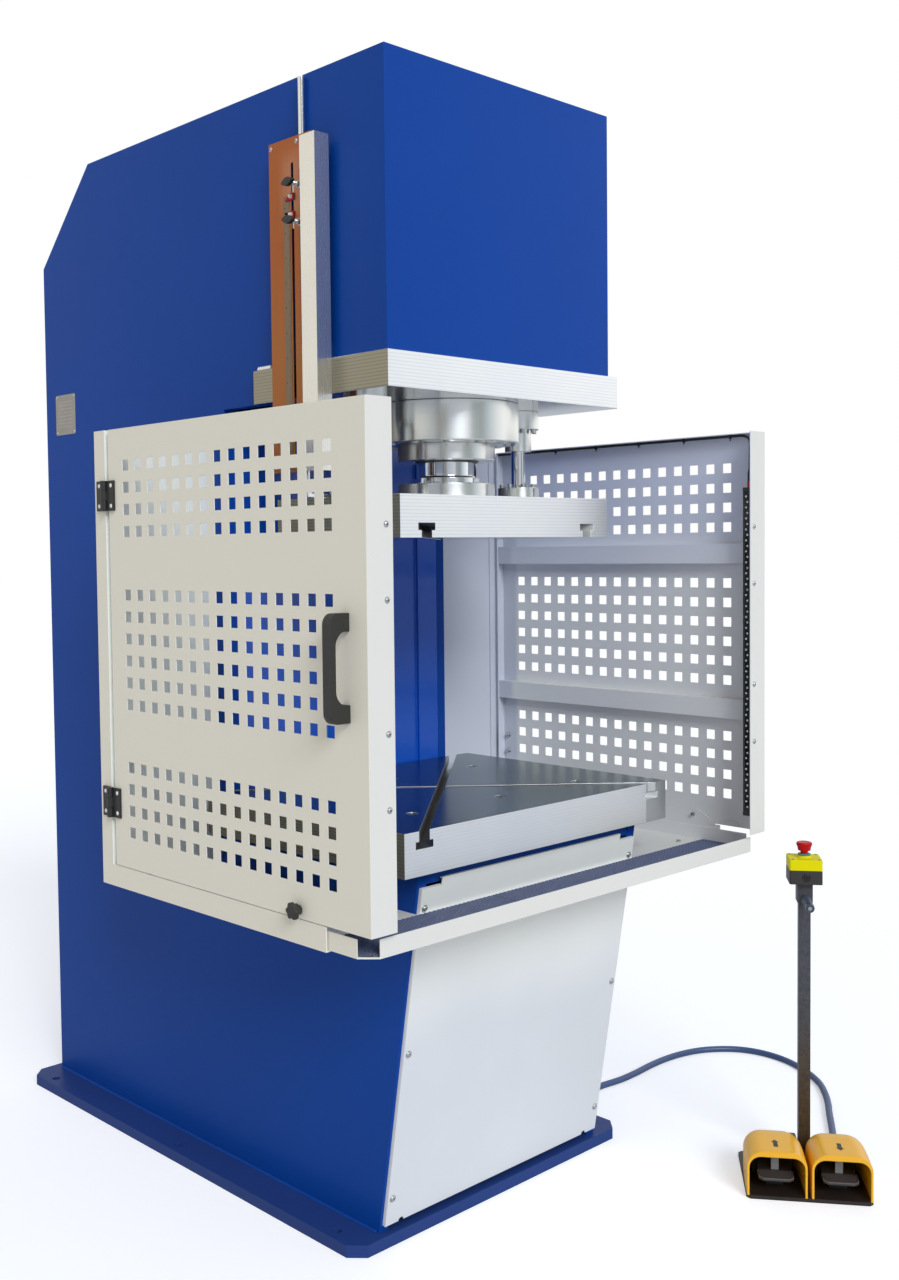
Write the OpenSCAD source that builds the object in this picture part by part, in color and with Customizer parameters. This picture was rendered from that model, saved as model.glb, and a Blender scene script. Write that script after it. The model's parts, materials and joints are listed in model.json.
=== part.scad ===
// C-frame hydraulic press with swinging side guards, a stroke gauge and a double foot pedal.
// Origin: centre of the base plate, on the floor. -Y is the operator's side, +Z is up.

/* [Frame] */
// Width of the frame over its side plates
frame_w = 675; // [560:5:820]
// Height of the frame above the floor
frame_h = 2330; // [2280:5:2800]
// Reach of the head in front of the base centre
head_reach = 675; // [640:5:760]
// Distance of the rear plate behind the base centre
frame_back = 617; // [560:1:630]
// Height at which the rear slope starts
slope_z = 2110; // [1900:5:2200]
// Distance behind the base centre at which the roof ends
roof_back = 390; // [300:5:500]
// Distance of the throat plate in front of the base centre
throat_reach = 152; // [100:1:180]
// Thickness of the two side plates
side_t = 25; // [15:1:40]
// Thickness of the head front plate
front_t = 20; // [12:1:30]
// Thickness of the roof and rear plate
back_t = 12; // [8:1:20]
// Thickness of the throat plate
throat_t = 15; // [10:1:25]
// Width of the duct on the throat plate
duct_w = 42; // [30:1:60]
// Distance of the duct from the frame centre
duct_x = 260; // [150:5:280]
// Depth of the duct
duct_d = 8; // [5:1:9]
// Distance of the lower front edge ahead of the base centre, at the base
horn_foot = 620; // [560:1:628]
// Forward lean of the lower front edge between base and table
horn_lean = 124; // [60:1:135]

/* [Base plate] */
// Margin of the base plate beside the frame
base_margin = 77.5; // [40:0.5:160]
// Length of the base plate
base_l = 1280; // [1270:5:1500]
// Thickness of the base plate
base_t = 25; // [15:1:40]
// Size of the cut corners
base_corner = 30; // [10:1:60]
// Diameter of the anchor holes
anchor_d = 20; // [14:1:26]
// Distance of the anchor holes beside the frame
anchor_margin = 52.5; // [25:0.5:110]
// Spacing of the anchor holes along the base
anchor_dy = 553; // [500:1:580]

/* [Head plate] */
// Overhang of the head plate beside the frame
head_plate_over = 12.5; // [4:0.5:40]
// Length of the head plate
head_plate_l = 415; // [400:5:460]
// Thickness of the head plate
head_plate_t = 70; // [50:1:90]
// Distance that the head plate stands ahead of the head
head_plate_lip = 15; // [5:1:25]
// Height of the underside of the head plate
head_plate_z = 1686; // [1600:1:1750]

/* [Table] */
// Height of the table above the floor
table_z = 855; // [820:5:900]
// Width of the table
table_w = 810; // [700:5:900]
// Length of the table
table_l = 614; // [600:1:640]
// Thickness of the table
table_t = 85; // [70:1:100]
// Gap between the table and the throat plate
table_gap = 11; // [5:1:20]
// Thickness of the bed plate under the table
bed_t = 30; // [20:1:40]
// Spacing of the table screws across the table
table_screw_dx = 255; // [240:5:300]
// Spacing of the table screws along the table
table_screw_dy = 320; // [300:5:360]
// Diameter of the table screw heads
table_screw_d = 26; // [20:1:32]

/* [T-slots] */
// Width of the slot's neck
slot_w = 18; // [12:1:22]
// Width of the slot's wide part
slot_cap_w = 30; // [24:1:40]
// Height of the slot's wide part
slot_cap_h = 14; // [8:1:16]
// Depth of the neck in the table
table_neck_h = 20; // [12:1:26]
// Depth of the neck in the ram plate
ram_neck_h = 15; // [12:1:26]
// Angle of each slot to the front edge
slot_angle = 41; // [35:1:50]
// Distance of the slot crossing ahead of the base centre
slot_cross = 470; // [460:1:480]

/* [Ram] */
// Distance of the ram axis ahead of the base centre
ram_reach = 497; // [480:1:510]
// Bare rod between its shoulder and the gland ring, ram up
rod_gap = 36; // [20:1:60]
// Travel of the ram
stroke = 350; // [200:10:380]
// Width of the ram plate
ram_w = 636; // [560:2:660]
// Length of the ram plate
ram_l = 375; // [330:1:400]
// Thickness of the ram plate
ram_t = 85; // [70:1:95]
// Diameter of the piston rod
rod_d = 120; // [90:1:140]
// Diameter of the shoulder at the rod's foot
rod_foot_d = 144; // [142:1:180]
// Height of the shoulder at the rod's foot
rod_foot_h = 13; // [8:1:16]
// Diameter of the ram flange
ram_flange_d = 210; // [190:2:240]
// Height of the ram flange
ram_flange_h = 32; // [20:1:36]
// Diameter of the cylinder gland
gland_d = 314; // [280:2:330]
// Height of the cylinder gland below the head plate
gland_h = 85; // [60:1:90]
// Diameter of the gland ring
gland_ring_d = 210; // [190:2:240]
// Height of the gland ring
gland_ring_h = 35; // [20:1:40]
// Outside diameter of the cylinder barrel
barrel_d = 280; // [260:2:300]
// Wall of the cylinder barrel
barrel_wall = 30; // [20:1:35]
// Thickness of the piston
piston_h = 60; // [40:1:70]
// Thickness of the cylinder's end cap
barrel_cap_h = 40; // [30:1:60]

/* [Guides] */
// Distance of each guide rod from the ram axis
guide_x = 234; // [225:1:250]
// Diameter of the guide rods
guide_d = 32; // [20:1:36]
// Diameter of the guide sleeves
sleeve_d = 60; // [44:1:70]
// Reach of the guide sleeves below the head plate
sleeve_h = 89; // [70:1:140]
// Diameter of the guide bosses
boss_d = 94; // [80:1:100]
// Height of the guide bosses
boss_h = 40; // [30:1:60]
// Diameter of the guide flanges on the ram plate
guide_flange_d = 93; // [80:1:100]
// Height of the guide flanges
guide_flange_h = 30; // [20:1:40]

/* [Front cover] */
// Thickness of the front cover sheet
cover_t = 2; // [1.5:0.5:4]
// Depth of the front cover's folded edges
cover_d = 8; // [6:1:12]
// Side margin between the cover and the frame's edge
cover_margin = 7; // [2:1:15]
// Height of the cover's lower edge
cover_z0 = 40; // [30:1:80]
// Height of the cover's shoulders
cover_z1 = 735; // [700:1:738]
// Height of the cover's middle lip
cover_lip_z = 750; // [740:1:760]
// Width of the cover's middle lip
cover_lip_w = 555; // [400:5:600]

/* [Guards] */
// Width over the two side guards
guard_w = 1212; // [1150:2:1300]
// Distance of the guard fronts ahead of the base centre
guard_reach = 906; // [900:1:960]
// Height of the lower edge of the doors
door_z0 = 727; // [725:1:760]
// Height of the upper edge of the doors
door_z1 = 1632; // [1600:1:1680]
// Thickness of the guard sheet
sheet_t = 2; // [1.5:0.5:3]
// Width of the door's front flange
flange_w = 60; // [50:1:80]
// Depth of the door's folded lips
lip_w = 25; // [20:1:34]
// Size of the guard posts
post_w = 40; // [30:1:50]
// Distance of the post's rear face ahead of the base centre
post_back = 60; // [40:1:90]
// How far the sheet beside each guard post stands behind the post's front
return_setback = 4; // [1:1:20]
// Gap between post and door
door_gap = 12; // [8:1:14]
// Width of the square holes
hole_w = 22; // [14:1:30]
// Pitch of the square holes
hole_pitch = 45; // [40:0.5:48]
// Number of holes in a row
hole_cols = 15; // [10:1:15]
// Number of rows of holes above the upper rail, and below the lower one
hole_rows = 4; // [2:1:4]
// Distance of the first row below the door's upper edge
hole_top = 76; // [60:1:90]
// Distance of the last row above the door's lower edge
hole_low = 75; // [60:1:90]
// Distance between the lower rail and the row above it
hole_mid = 64; // [50:1:70]
// Distance of the upper rail below the door's upper edge
rail_top = 272; // [260:1:300]
// Distance of the lower rail above the door's lower edge
rail_low = 276; // [260:1:300]
// Distance of the first holes ahead of the base centre
hole_start = 178; // [165:1:190]
// Height of the door's two stiffening rails
rail_h = 45; // [30:1:50]
// Depth of the door's stiffening rails
rail_d = 20; // [12:1:24]

/* [Hinges] */
// Height of a hinge
hinge_h = 62; // [45:1:80]
// Width of one hinge leaf
hinge_leaf_w = 32; // [24:1:38]
// Thickness of a hinge leaf
hinge_t = 5; // [3:0.5:6]
// Diameter of the hinge knuckle
knuckle_d = 14; // [12:1:16]
// Diameter of the hinge pin
hinge_pin_d = 8; // [6:0.5:9]
// Distance of the lower hinges above the door's lower edge
hinge_low = 131; // [60:1:200]
// Distance of the upper hinges below the door's upper edge
hinge_high = 136; // [60:1:200]

/* [Door fittings] */
// Length of a door handle
handle_l = 186; // [140:1:240]
// Stand-off of a door handle
handle_out = 44; // [35:1:60]
// Width of a door handle
handle_w = 20; // [14:1:28]
// Thickness of the handle bar
handle_t = 11; // [8:1:14]
// Height of the middle of the handles
handle_z = 1179; // [1000:1:1300]
// Distance of the handles ahead of the base centre
handle_reach = 851; // [846:1:860]
// Width over the star knob's lobes
star_d = 32; // [24:1:44]
// Height of the star knobs
star_z = 743; // [740:1:748]
// Distance of the star knobs ahead of the base centre
star_reach = 717; // [690:1:730]
// Diameter of the star knob's stud
star_stud_d = 8; // [6:1:10]
// Distance of a light curtain's top below the door's upper edge
curtain_top = 125; // [110:1:300]
// Width of a light curtain
curtain_w = 28; // [20:1:34]
// Depth of a light curtain
curtain_d = 18; // [14:1:24]
// Height of a light curtain's lower end
curtain_z = 770; // [740:1:790]

/* [Tray] */
// Height of the guard rails
guard_rail_h = 45; // [38:1:46]
// Distance of the rail's front end ahead of the base centre
guard_rail_reach = 788; // [780:1:800]
// Thickness of the guard rails
guard_rail_t = 3; // [2:0.5:4]
// Height of the tray's walls
tray_h = 34; // [25:1:36]
// Distance of the tray's front ahead of the base centre
tray_reach = 890; // [880:1:900]
// Size of the tray's open corners
tray_corner = 28; // [20:1:40]

/* [Stroke gauge] */
// Width of the gauge plate
gauge_w = 170; // [160:1:190]
// Height of the gauge plate's upper edge
gauge_z1 = 2205; // [2150:5:2260]
// Height of the gauge plate's lower edge
gauge_z0 = 1537; // [1530:1:1600]
// Distance of the gauge plate's rear edge ahead of the base centre
gauge_reach = 352; // [300:1:380]
// Clearance between the gauge plate and the head plate's side
gauge_gap = 8; // [7:1:12]
// Height of each gauge bracket
gauge_bracket_h = 30; // [20:1:40]
// Depth of the gauge channel in front of the gauge plate
channel_d = 27; // [22:1:40]
// Width of the gauge channel's face
channel_w = 44; // [30:1:50]
// Width of the slots in the gauge plate
gauge_slot_w = 8; // [7:0.5:9]
// Height of the long slot's lower end above the gauge plate's lower edge
slot_low = 40; // [20:5:100]
// Diameter of the trip rod
trip_d = 14; // [10:1:14]
// Height of the trip rod's top, ram up
trip_z1 = 2322; // [2280:1:2350]
// Height of the upper stop's thumb screw
upper_stop_z = 2106; // [2100:1:2130]
// Height of the lower stop's thumb screw
lower_stop_z = 2032; // [2000:1:2040]
// Travel of the lower stop
stop_travel = 220; // [100:10:230]

/* [Foot pedals] */
// Width of the pedal stand's base
stand_w = 258; // [256:1:300]
// Depth of the pedal stand's base
stand_l = 215; // [210:1:260]
// Thickness of the pedal stand's base
stand_t = 8; // [5:1:12]
// Width of a pedal hood
hood_w = 124; // [110:1:125]
// Height of a hood's mouth edge
hood_h = 103; // [96:1:104]
// Height of a hood's crown
hood_top = 105; // [105:1:120]
// Depth of a hood
hood_l = 165; // [150:1:168]
// Wall of a hood
hood_wall = 3.5; // [2.5:0.5:5]
// Width of the rim round a hood's mouth
hood_rim = 5; // [5:0.5:12]
// Height of a hood's front above its mouth
hood_lintel = 12; // [8:1:20]
// Width of a pedal
pedal_w = 70; // [50:1:80]
// Size of the square post
stand_post_w = 25; // [20:1:34]
// Height of the post's top
stand_post_z = 642; // [550:1:750]
// Length of the grip on the post
grip_l = 80; // [30:1:100]
// Width and depth of the stop box
stop_box_w = 70; // [60:1:80]
// Height of the stop box's lower half
stop_base_h = 30; // [24:1:40]
// Height of the stop box's lid
stop_lid_h = 24; // [18:1:30]
// Diameter of the stop button
stop_d = 34; // [30:1:44]
// Travel of the stop button
stop_press = 5; // [3:1:6]

/* [Cables] */
// Diameter of the foot cable
cable_d = 17; // [12:1:18]
// Diameter of the light curtain cable
curtain_cable_d = 6; // [4:0.5:7]

/* [Hidden] */
$fn = 96;
// Overlap of cuts past the faces that they leave
eps = 1;
// Radial clearance of running fits
fit = 0.05;
// Gap between pieces that pass each other
free = 0.3;

// Frame
half_w = frame_w / 2;
base_w = frame_w + 2 * base_margin;
anchor_dx = frame_w + 2 * anchor_margin;
head_plate_w = frame_w + 2 * head_plate_over;
inner_w = frame_w - 2 * side_t;
lean = horn_lean / (table_z - table_t - base_t);
lean_angle = atan(lean);
horn_z = table_z - table_t;
bed_z = horn_z - bed_t;
head_z = head_plate_z + head_plate_t;
roof_angle = atan2(frame_h - slope_z, frame_back - roof_back);
plate_y = -(head_reach + head_plate_lip) + head_plate_l / 2;

// Ram
gland_z = head_plate_z - gland_h;
flange_top = gland_z - gland_ring_h - rod_gap - rod_foot_h;
ram_top = flange_top - ram_flange_h;
ram_z = ram_top - ram_t;
rod_r = rod_d / 2;
bore_r = barrel_d / 2 - barrel_wall;
piston_z = head_z + stroke + 10;
barrel_h = stroke + piston_h + 20;
guide_top = head_z + stroke - 56;

// Guards
guard_x = guard_w / 2;
post_front = post_back + post_w;
door_back = post_front + door_gap;
hinge_y = post_front + door_gap / 2;
hinge_x = guard_x + knuckle_d / 2;
rail_z = door_z0 - 2 - guard_rail_h;
tray_z = rail_z + guard_rail_t;
tray_x = guard_x - guard_rail_t - 3;
tab_x = guard_x - guard_rail_t;
leg_w = 30;
hinge_z0 = door_z0 + hinge_low;
hinge_z1 = door_z1 - hinge_high;
curtain_l = door_z1 - curtain_top - curtain_z;
rail_rows = [door_z1 - rail_top, door_z0 + rail_low];
mid_rows = floor((rail_rows[0] - rail_rows[1] - 2 * hole_mid) / hole_pitch) + 1;
door_rows = concat(
    [for (i = [0 : hole_rows - 1]) door_z1 - hole_top - i * hole_pitch],
    [for (i = [0 : 1 : mid_rows - 1]) rail_rows[1] + hole_mid + i * hole_pitch],
    [for (i = [0 : hole_rows - 1]) door_z0 + hole_low + i * hole_pitch]
);

// Stroke gauge
gauge_back = head_plate_w / 2 + gauge_gap;
gauge_front = gauge_back + sheet_t;
trip_x = gauge_back - 2.5 - 1.5 - trip_d / 2;
trip_y = 443;
slot_a = 426;
slot_b = 452;
stop_plate_t = 2.2;
pointer_gap = 19;
thumb_d = 6;
dog_l = 26;
dog_z = (upper_stop_z + lower_stop_z) / 2;

// Foot pedals
stand_x = 428;
stand_y = -1122;
stand_turn = -52.7;
hood_x = (stand_w - hood_w) / 2 - 1;
post_x = 11;
post_y = hood_l + 8 + stand_post_w / 2;
pedal_pin_y = 118;
pedal_pin_z = 48;
pedal_pin_d = 8;
stop_box_z = stand_post_z - 6;
stop_lid_z = stop_box_z + stop_base_h;
stop_neck_h = 9;

// Foot cable, from the frame's gland over the floor to the pedal stand
CABLE = [
    [362, -440, 90], [400, -440, 86], [436, -440, 66], [470, -439, 38], [508, -438, 16],
    [550, -438, 8.5], [600, -441, 8.5], [667, -450, 8.5], [735, -450, 8.5], [800, -446, 8.5],
    [865, -447, 8.5], [925, -456, 8.5], [985, -477, 8.5], [1035, -513, 8.5], [1068, -555, 8.5],
    [1084, -605, 8.5], [1084, -660, 8.5], [1070, -712, 8.5], [1042, -768, 8.5], [1003, -820, 8.5],
    [955, -862, 8.5], [905, -898, 8.5], [852, -931, 8.5], [798, -966, 8.5], [749, -997, 8.5],
    [708, -1022, 9.5], [672, -1040, 13], [643, -1052, 19], [622, -1068, 22]
];
// Light curtain cable, from the right curtain's top to the door's rear lip
curtain_x = guard_x - flange_w + curtain_w / 2 + 1;
curtain_y = guard_reach - sheet_t - curtain_d / 2;
CURTAIN_CABLE = [
    [561, -895, 1507], [561, -895, 1522], [561, -895, 1540], [561, -895, 1558], [562, -895, 1576],
    [566, -893, 1592], [573, -889, 1606], [581, -881, 1617], [587, -868, 1624], [590, -853, 1626.6],
    [590, -835, 1626.6], [590, -700, 1626.6], [590, -560, 1626.6], [590, -420, 1626.6],
    [590, -280, 1626.6], [590, -150, 1626.6], [590, -114, 1626.6]
];

// Places its children on both sides of the frame, the second one mirrored
module both() {
    children();
    mirror([1, 0, 0]) children();
}

// A box between two corners
module block(low, high) {
    translate(low) cube(high - low);
}

// A cylinder along X from its low end
module rod_x(d, l) {
    rotate([0, 90, 0]) cylinder(d = d, h = l);
}

// A profile drawn in Y and Z, extruded along X from x0 to x1
module side_profile(x0, x1) {
    translate([x0, 0, 0]) rotate([90, 0, 90]) linear_extrude(x1 - x0) children();
}

// The frame of the front cover: Z runs up the leaning front edge, -Y out of it
module on_lean() {
    translate([0, -horn_foot, base_t]) rotate([lean_angle, 0, 0]) children();
}

// The T-slot lines as seen from above, each w wide
module slot_lines(w) {
    for (a = [slot_angle, 180 - slot_angle])
        translate([0, -slot_cross]) rotate(a) square([2 * table_w, w], center = true);
}

module base_plate() {
    c = base_corner;
    x = base_w / 2;
    y = base_l / 2;
    color([0.1, 0.26, 0.58]) difference() {
        linear_extrude(base_t) polygon([
            [-x + c, -y], [x - c, -y], [x, -y + c], [x, y - c],
            [x - c, y], [-x + c, y], [-x, y - c], [-x, -y + c]
        ]);
        for (sx = [-1, 1], sy = [-1, 0, 1])
            translate([sx * anchor_dx / 2, sy * anchor_dy, -eps]) cylinder(d = anchor_d, h = base_t + 2 * eps);
    }
}

module side_plate_outline() {
    polygon([
        [-horn_foot, base_t], [-horn_foot - horn_lean, horn_z], [-throat_reach, horn_z],
        [-throat_reach, head_plate_z], [plate_y + head_plate_l / 2, head_plate_z],
        [plate_y + head_plate_l / 2, head_z], [-head_reach + front_t, head_z],
        [-head_reach + front_t, frame_h], [roof_back, frame_h], [frame_back, slope_z],
        [frame_back, base_t]
    ]);
}

module frame_side_left() {
    color([0.1, 0.26, 0.58]) side_profile(-half_w, -half_w + side_t) side_plate_outline();
}

module frame_side_right() {
    color([0.1, 0.26, 0.58]) difference() {
        side_profile(half_w - side_t, half_w) side_plate_outline();
        translate([half_w - side_t - eps, CABLE[0][1], CABLE[0][2]]) rod_x(cable_d, side_t + 2 * eps);
    }
}

module head_front_plate() {
    color([0.1, 0.26, 0.58]) block([-half_w, -head_reach, head_z], [half_w, -head_reach + front_t, frame_h]);
}

module frame_back_plate() {
    t = back_t;
    roof_in = roof_back - t * tan(roof_angle / 2);
    slope_in = slope_z - t * tan((90 - roof_angle) / 2);
    color([0.1, 0.26, 0.58]) side_profile(-inner_w / 2, inner_w / 2) polygon([
        [-head_reach + front_t, frame_h], [roof_back, frame_h], [frame_back, slope_z],
        [frame_back, base_t], [frame_back - t, base_t], [frame_back - t, slope_in],
        [roof_in, frame_h - t], [-head_reach + front_t, frame_h - t]
    ]);
}

module throat_plate() {
    color([0.1, 0.26, 0.58]) {
        block([-inner_w / 2, -throat_reach, base_t], [inner_w / 2, -throat_reach + throat_t, head_plate_z]);
        block([duct_x - duct_w / 2, -throat_reach - duct_d, horn_z],
            [duct_x + duct_w / 2, -throat_reach, head_plate_z]);
    }
}

module bed_plate() {
    front = horn_foot + lean * (bed_z - base_t);
    color([0.1, 0.26, 0.58]) difference() {
        block([-inner_w / 2, -front, bed_z], [inner_w / 2, -throat_reach, horn_z]);
        table_screw_places() translate([0, 0, bed_z - eps]) cylinder(r = 8, h = bed_t + 2 * eps);
    }
}

module head_plate() {
    z = head_plate_z;
    color([0.78, 0.8, 0.79]) difference() {
        block([-head_plate_w / 2, plate_y - head_plate_l / 2, z], [head_plate_w / 2, plate_y + head_plate_l / 2, head_z]);
        translate([0, -ram_reach, z - eps]) cylinder(r = bore_r, h = head_plate_t + 2 * eps);
        for (s = [-1, 1])
            translate([s * guide_x, -ram_reach, z - eps]) cylinder(d = sleeve_d, h = head_plate_t + 2 * eps);
        block([-head_plate_w / 2 - eps, -trip_y - dog_l - 4, z - eps],
            [-trip_x + trip_d / 2 + 4, -trip_y + trip_d / 2 + 4, head_z + eps]);
    }
}

// The six screws that hold the table, seen from above
module table_screw_places() {
    row = throat_reach + table_gap + table_l / 2 + 14;
    for (sx = [-1, 0, 1], sy = [-0.5, 0.5])
        translate([sx * table_screw_dx, -row + sy * table_screw_dy, 0]) children();
}

module work_table() {
    back = -throat_reach - table_gap;
    color([0.62, 0.66, 0.68]) difference() {
        block([-table_w / 2, back - table_l, horn_z], [table_w / 2, back, table_z]);
        translate([0, 0, table_z - table_neck_h]) linear_extrude(table_neck_h + eps) slot_lines(slot_w);
        translate([0, 0, table_z - table_neck_h - slot_cap_h]) linear_extrude(slot_cap_h) slot_lines(slot_cap_w);
        table_screw_places() {
            translate([0, 0, horn_z - eps]) cylinder(r = 8, h = table_t + 2 * eps);
            translate([0, 0, table_z - 17]) cylinder(d = table_screw_d, h = 17 + eps);
        }
    }
}

module table_screws() {
    color([0.3, 0.32, 0.34]) table_screw_places() difference() {
        union() {
            translate([0, 0, table_z - 17]) cylinder(d = table_screw_d, h = 16.5);
            translate([0, 0, bed_z]) cylinder(r = 8, h = table_z - 17 - bed_z);
        }
        translate([0, 0, table_z - 9]) cylinder(d = 16, h = 9, $fn = 6);
    }
}

// Height along the leaning front for a height above the floor
function lean_s(z) = (z - base_t) / cos(lean_angle);

module front_cover() {
    d = cover_d;
    x = half_w - cover_margin;
    lip = cover_lip_w / 2;
    color([0.86, 0.87, 0.88]) on_lean() {
        difference() {
            block([-x, -d, lean_s(cover_z0)], [x, 0, lean_s(cover_z1)]);
            block([-x + cover_t, -d + cover_t, lean_s(cover_z0) - eps], [x - cover_t, eps, lean_s(cover_z1) - cover_t]);
            for (s = [-1, 1])
                translate([s * x * 0.87, -d - eps, lean_s(cover_z0)]) rotate([-90, 0, 0])
                    cylinder(r = 7, h = cover_t + 2 * eps);
            cover_screw_places() translate([0, 0, -cover_t - eps]) cylinder(r = 3, h = cover_t + 2 * eps);
        }
        block([-lip, -d, lean_s(cover_z1) - eps], [lip, -d + cover_t, lean_s(cover_lip_z)]);
        translate([0, -d, lean_s(cover_lip_z)]) rotate([-lean_angle, 0, 0])
            block([-lip, 0, -cover_t], [lip, d - 0.5, 0]);
    }
}

// The cover's screws, with Z pointing out of the cover's face
module cover_screw_places() {
    for (s = [-1, 1], z = [97, 400, 695])
        translate([s * (half_w - side_t + 5.5), -cover_d, lean_s(z)]) rotate([90, 0, 0]) children();
}

module cover_screws() {
    color([0.75, 0.76, 0.77]) on_lean() cover_screw_places() {
        difference() {
            intersection() {
                cylinder(r = 6.5, h = 4);
                translate([0, 0, -6]) sphere(r = 9.6);
            }
            translate([0, 0, 2]) cylinder(r = 2.5, h = 3, $fn = 6);
        }
        translate([0, 0, -cover_d]) cylinder(r = 3, h = cover_d);
    }
}

module cylinder_barrel() {
    color([0.35, 0.36, 0.38]) translate([0, -ram_reach, head_z]) difference() {
        cylinder(d = barrel_d, h = barrel_h + barrel_cap_h);
        translate([0, 0, -eps]) cylinder(r = bore_r, h = barrel_h + eps);
    }
}

module cylinder_gland() {
    color([0.74, 0.75, 0.76]) translate([0, -ram_reach, 0]) difference() {
        union() {
            translate([0, 0, gland_z]) cylinder(d = gland_d, h = gland_h);
            translate([0, 0, head_plate_z]) cylinder(r = bore_r, h = head_plate_t);
        }
        translate([0, 0, gland_z - eps]) cylinder(r = rod_r + fit, h = gland_h + head_plate_t + 2 * eps);
    }
}

module gland_ring() {
    color([0.8, 0.81, 0.82]) translate([0, -ram_reach, gland_z - gland_ring_h]) difference() {
        cylinder(d = gland_ring_d, h = gland_ring_h);
        translate([0, 0, -eps]) cylinder(r = rod_r + fit, h = gland_ring_h + 2 * eps);
    }
}

module guide_places() {
    for (s = [-1, 1])
        translate([s * guide_x, -ram_reach, 0]) children();
}

module guide_bosses() {
    color([0.76, 0.77, 0.78]) guide_places() difference() {
        union() {
            translate([0, 0, head_plate_z - boss_h]) cylinder(d = boss_d, h = boss_h);
            translate([0, 0, head_plate_z - sleeve_h]) cylinder(d = sleeve_d, h = sleeve_h + head_plate_t);
        }
        translate([0, 0, head_plate_z - sleeve_h - eps])
            cylinder(r = guide_d / 2 + fit, h = sleeve_h + head_plate_t + 2 * eps);
    }
}

module oil_tank() {
    color([0.25, 0.27, 0.3]) difference() {
        block([-260, -80, base_t], [260, 520, 560]);
        block([-256, -76, base_t + 4], [256, 516, 554]);
        translate([0, 330, 550]) cylinder(d = 90, h = 20);
    }
}

module pump_motor() {
    color([0.3, 0.36, 0.42]) translate([0, 330, 0]) {
        translate([0, 0, 560]) cylinder(d = 200, h = 14);
        translate([0, 0, 574]) cylinder(d = 178, h = 260);
        translate([0, 0, 834]) cylinder(d = 160, h = 30);
        translate([0, 0, 260]) cylinder(d = 88, h = 300);
        block([60, -40, 640], [125, 40, 730]);
    }
}

module valve_block() {
    color([0.55, 0.57, 0.6]) difference() {
        block([-110, 60, 560], [110, 160, 680]);
        for (s = [-1, 1])
            translate([s * 60, 110, 660]) cylinder(d = 28, h = 30);
    }
}

module hydraulic_pipes() {
    cap = head_z + barrel_h + barrel_cap_h;
    low = head_z + 40;
    back = ram_reach - sqrt(pow(barrel_d / 2, 2) - pow(60, 2));
    color([0.5, 0.52, 0.54]) {
        translate([60, 110, 660]) cylinder(d = 28, h = cap + 40 - 660);
        translate([60, 110, cap + 40]) sphere(d = 28);
        translate([60, 110, cap + 40]) rotate([90, 0, 0]) cylinder(d = 28, h = 110 + ram_reach);
        translate([60, -ram_reach, cap + 40]) sphere(d = 28);
        translate([60, -ram_reach, cap]) cylinder(d = 28, h = 40);
        translate([-60, 110, 660]) cylinder(d = 28, h = low - 660);
        translate([-60, 110, low]) sphere(d = 28);
        difference() {
            translate([-60, 110, low]) rotate([90, 0, 0]) cylinder(d = 28, h = 110 + back + 6);
            translate([0, -ram_reach, low - 20]) cylinder(d = barrel_d, h = 40);
        }
    }
}

// A guard's fixed half on the left: post, return panel, lower rail and latch tab
module guard_frame() {
    x = guard_x;
    t = sheet_t;
    rail_end = guard_rail_reach;
    front = post_front - return_setback;
    difference() {
        union() {
            block([-x, -post_front, rail_z], [-x + post_w, -post_back, door_z1]);
            block([-x + post_w - eps, -front, rail_z + 8], [-half_w, -front + t, door_z1]);
            block([-half_w - t, -front, rail_z + 8], [-half_w, -post_back, door_z1]);
            block([-x, -rail_end, rail_z], [-x + guard_rail_t, -post_back, rail_z + guard_rail_h]);
            block([-x, -rail_end, rail_z], [-x + leg_w, -post_front, tray_z]);
        }
        block([-x + 3, -post_front + 3, rail_z - eps], [-x + post_w - 3, -post_back - 3, door_z1 - 3]);
    }
    latch_tab();
}

// The upstand inside the door that takes the star knob's screw, with its tongue to the front
module latch_tab() {
    z0 = tray_z + 4;
    y = star_reach;
    z = star_z;
    difference() {
        side_profile(-tab_x, -tab_x + 3) {
            polygon([
                [-y + 160, z0], [-y + 150, z + 3], [-y - 14, z + 13], [-y - 44, z - 3],
                [-y - 116, z - 3], [-y - 116, z - 15], [-y - 60, z - 15], [-y - 54, z0]
            ]);
            translate([-y - 116, z - 9]) circle(r = 6);
        }
        translate([-tab_x - eps, -y, z]) rod_x(star_stud_d + 1, 5);
    }
}

module left_guard_frame() {
    color([0.82, 0.8, 0.74]) guard_frame();
}

module right_guard_frame() {
    color([0.82, 0.8, 0.74]) mirror([1, 0, 0]) guard_frame();
}

module guard_tray() {
    x = tray_x;
    c = tray_corner;
    y = tray_reach;
    t = 3;
    top = tray_z + tray_h;
    body = horn_foot + lean * (tray_z + t - base_t) + cover_d + 6;
    color([0.87, 0.88, 0.88]) {
        translate([0, 0, tray_z]) linear_extrude(t) polygon([
            [-x, -post_front - free], [-x, -y + c], [-x + c, -y], [x - c, -y], [x, -y + c],
            [x, -post_front - free], [half_w + free, -post_front - free], [half_w + free, -body],
            [-half_w - free, -body], [-half_w - free, -post_front - free]
        ]);
        block([-x + c, -y, tray_z], [x - c, -y + 2, top]);
        both() block([-x, -y + c, tray_z], [-x + 2, -post_front - free, top]);
    }
}

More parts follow.
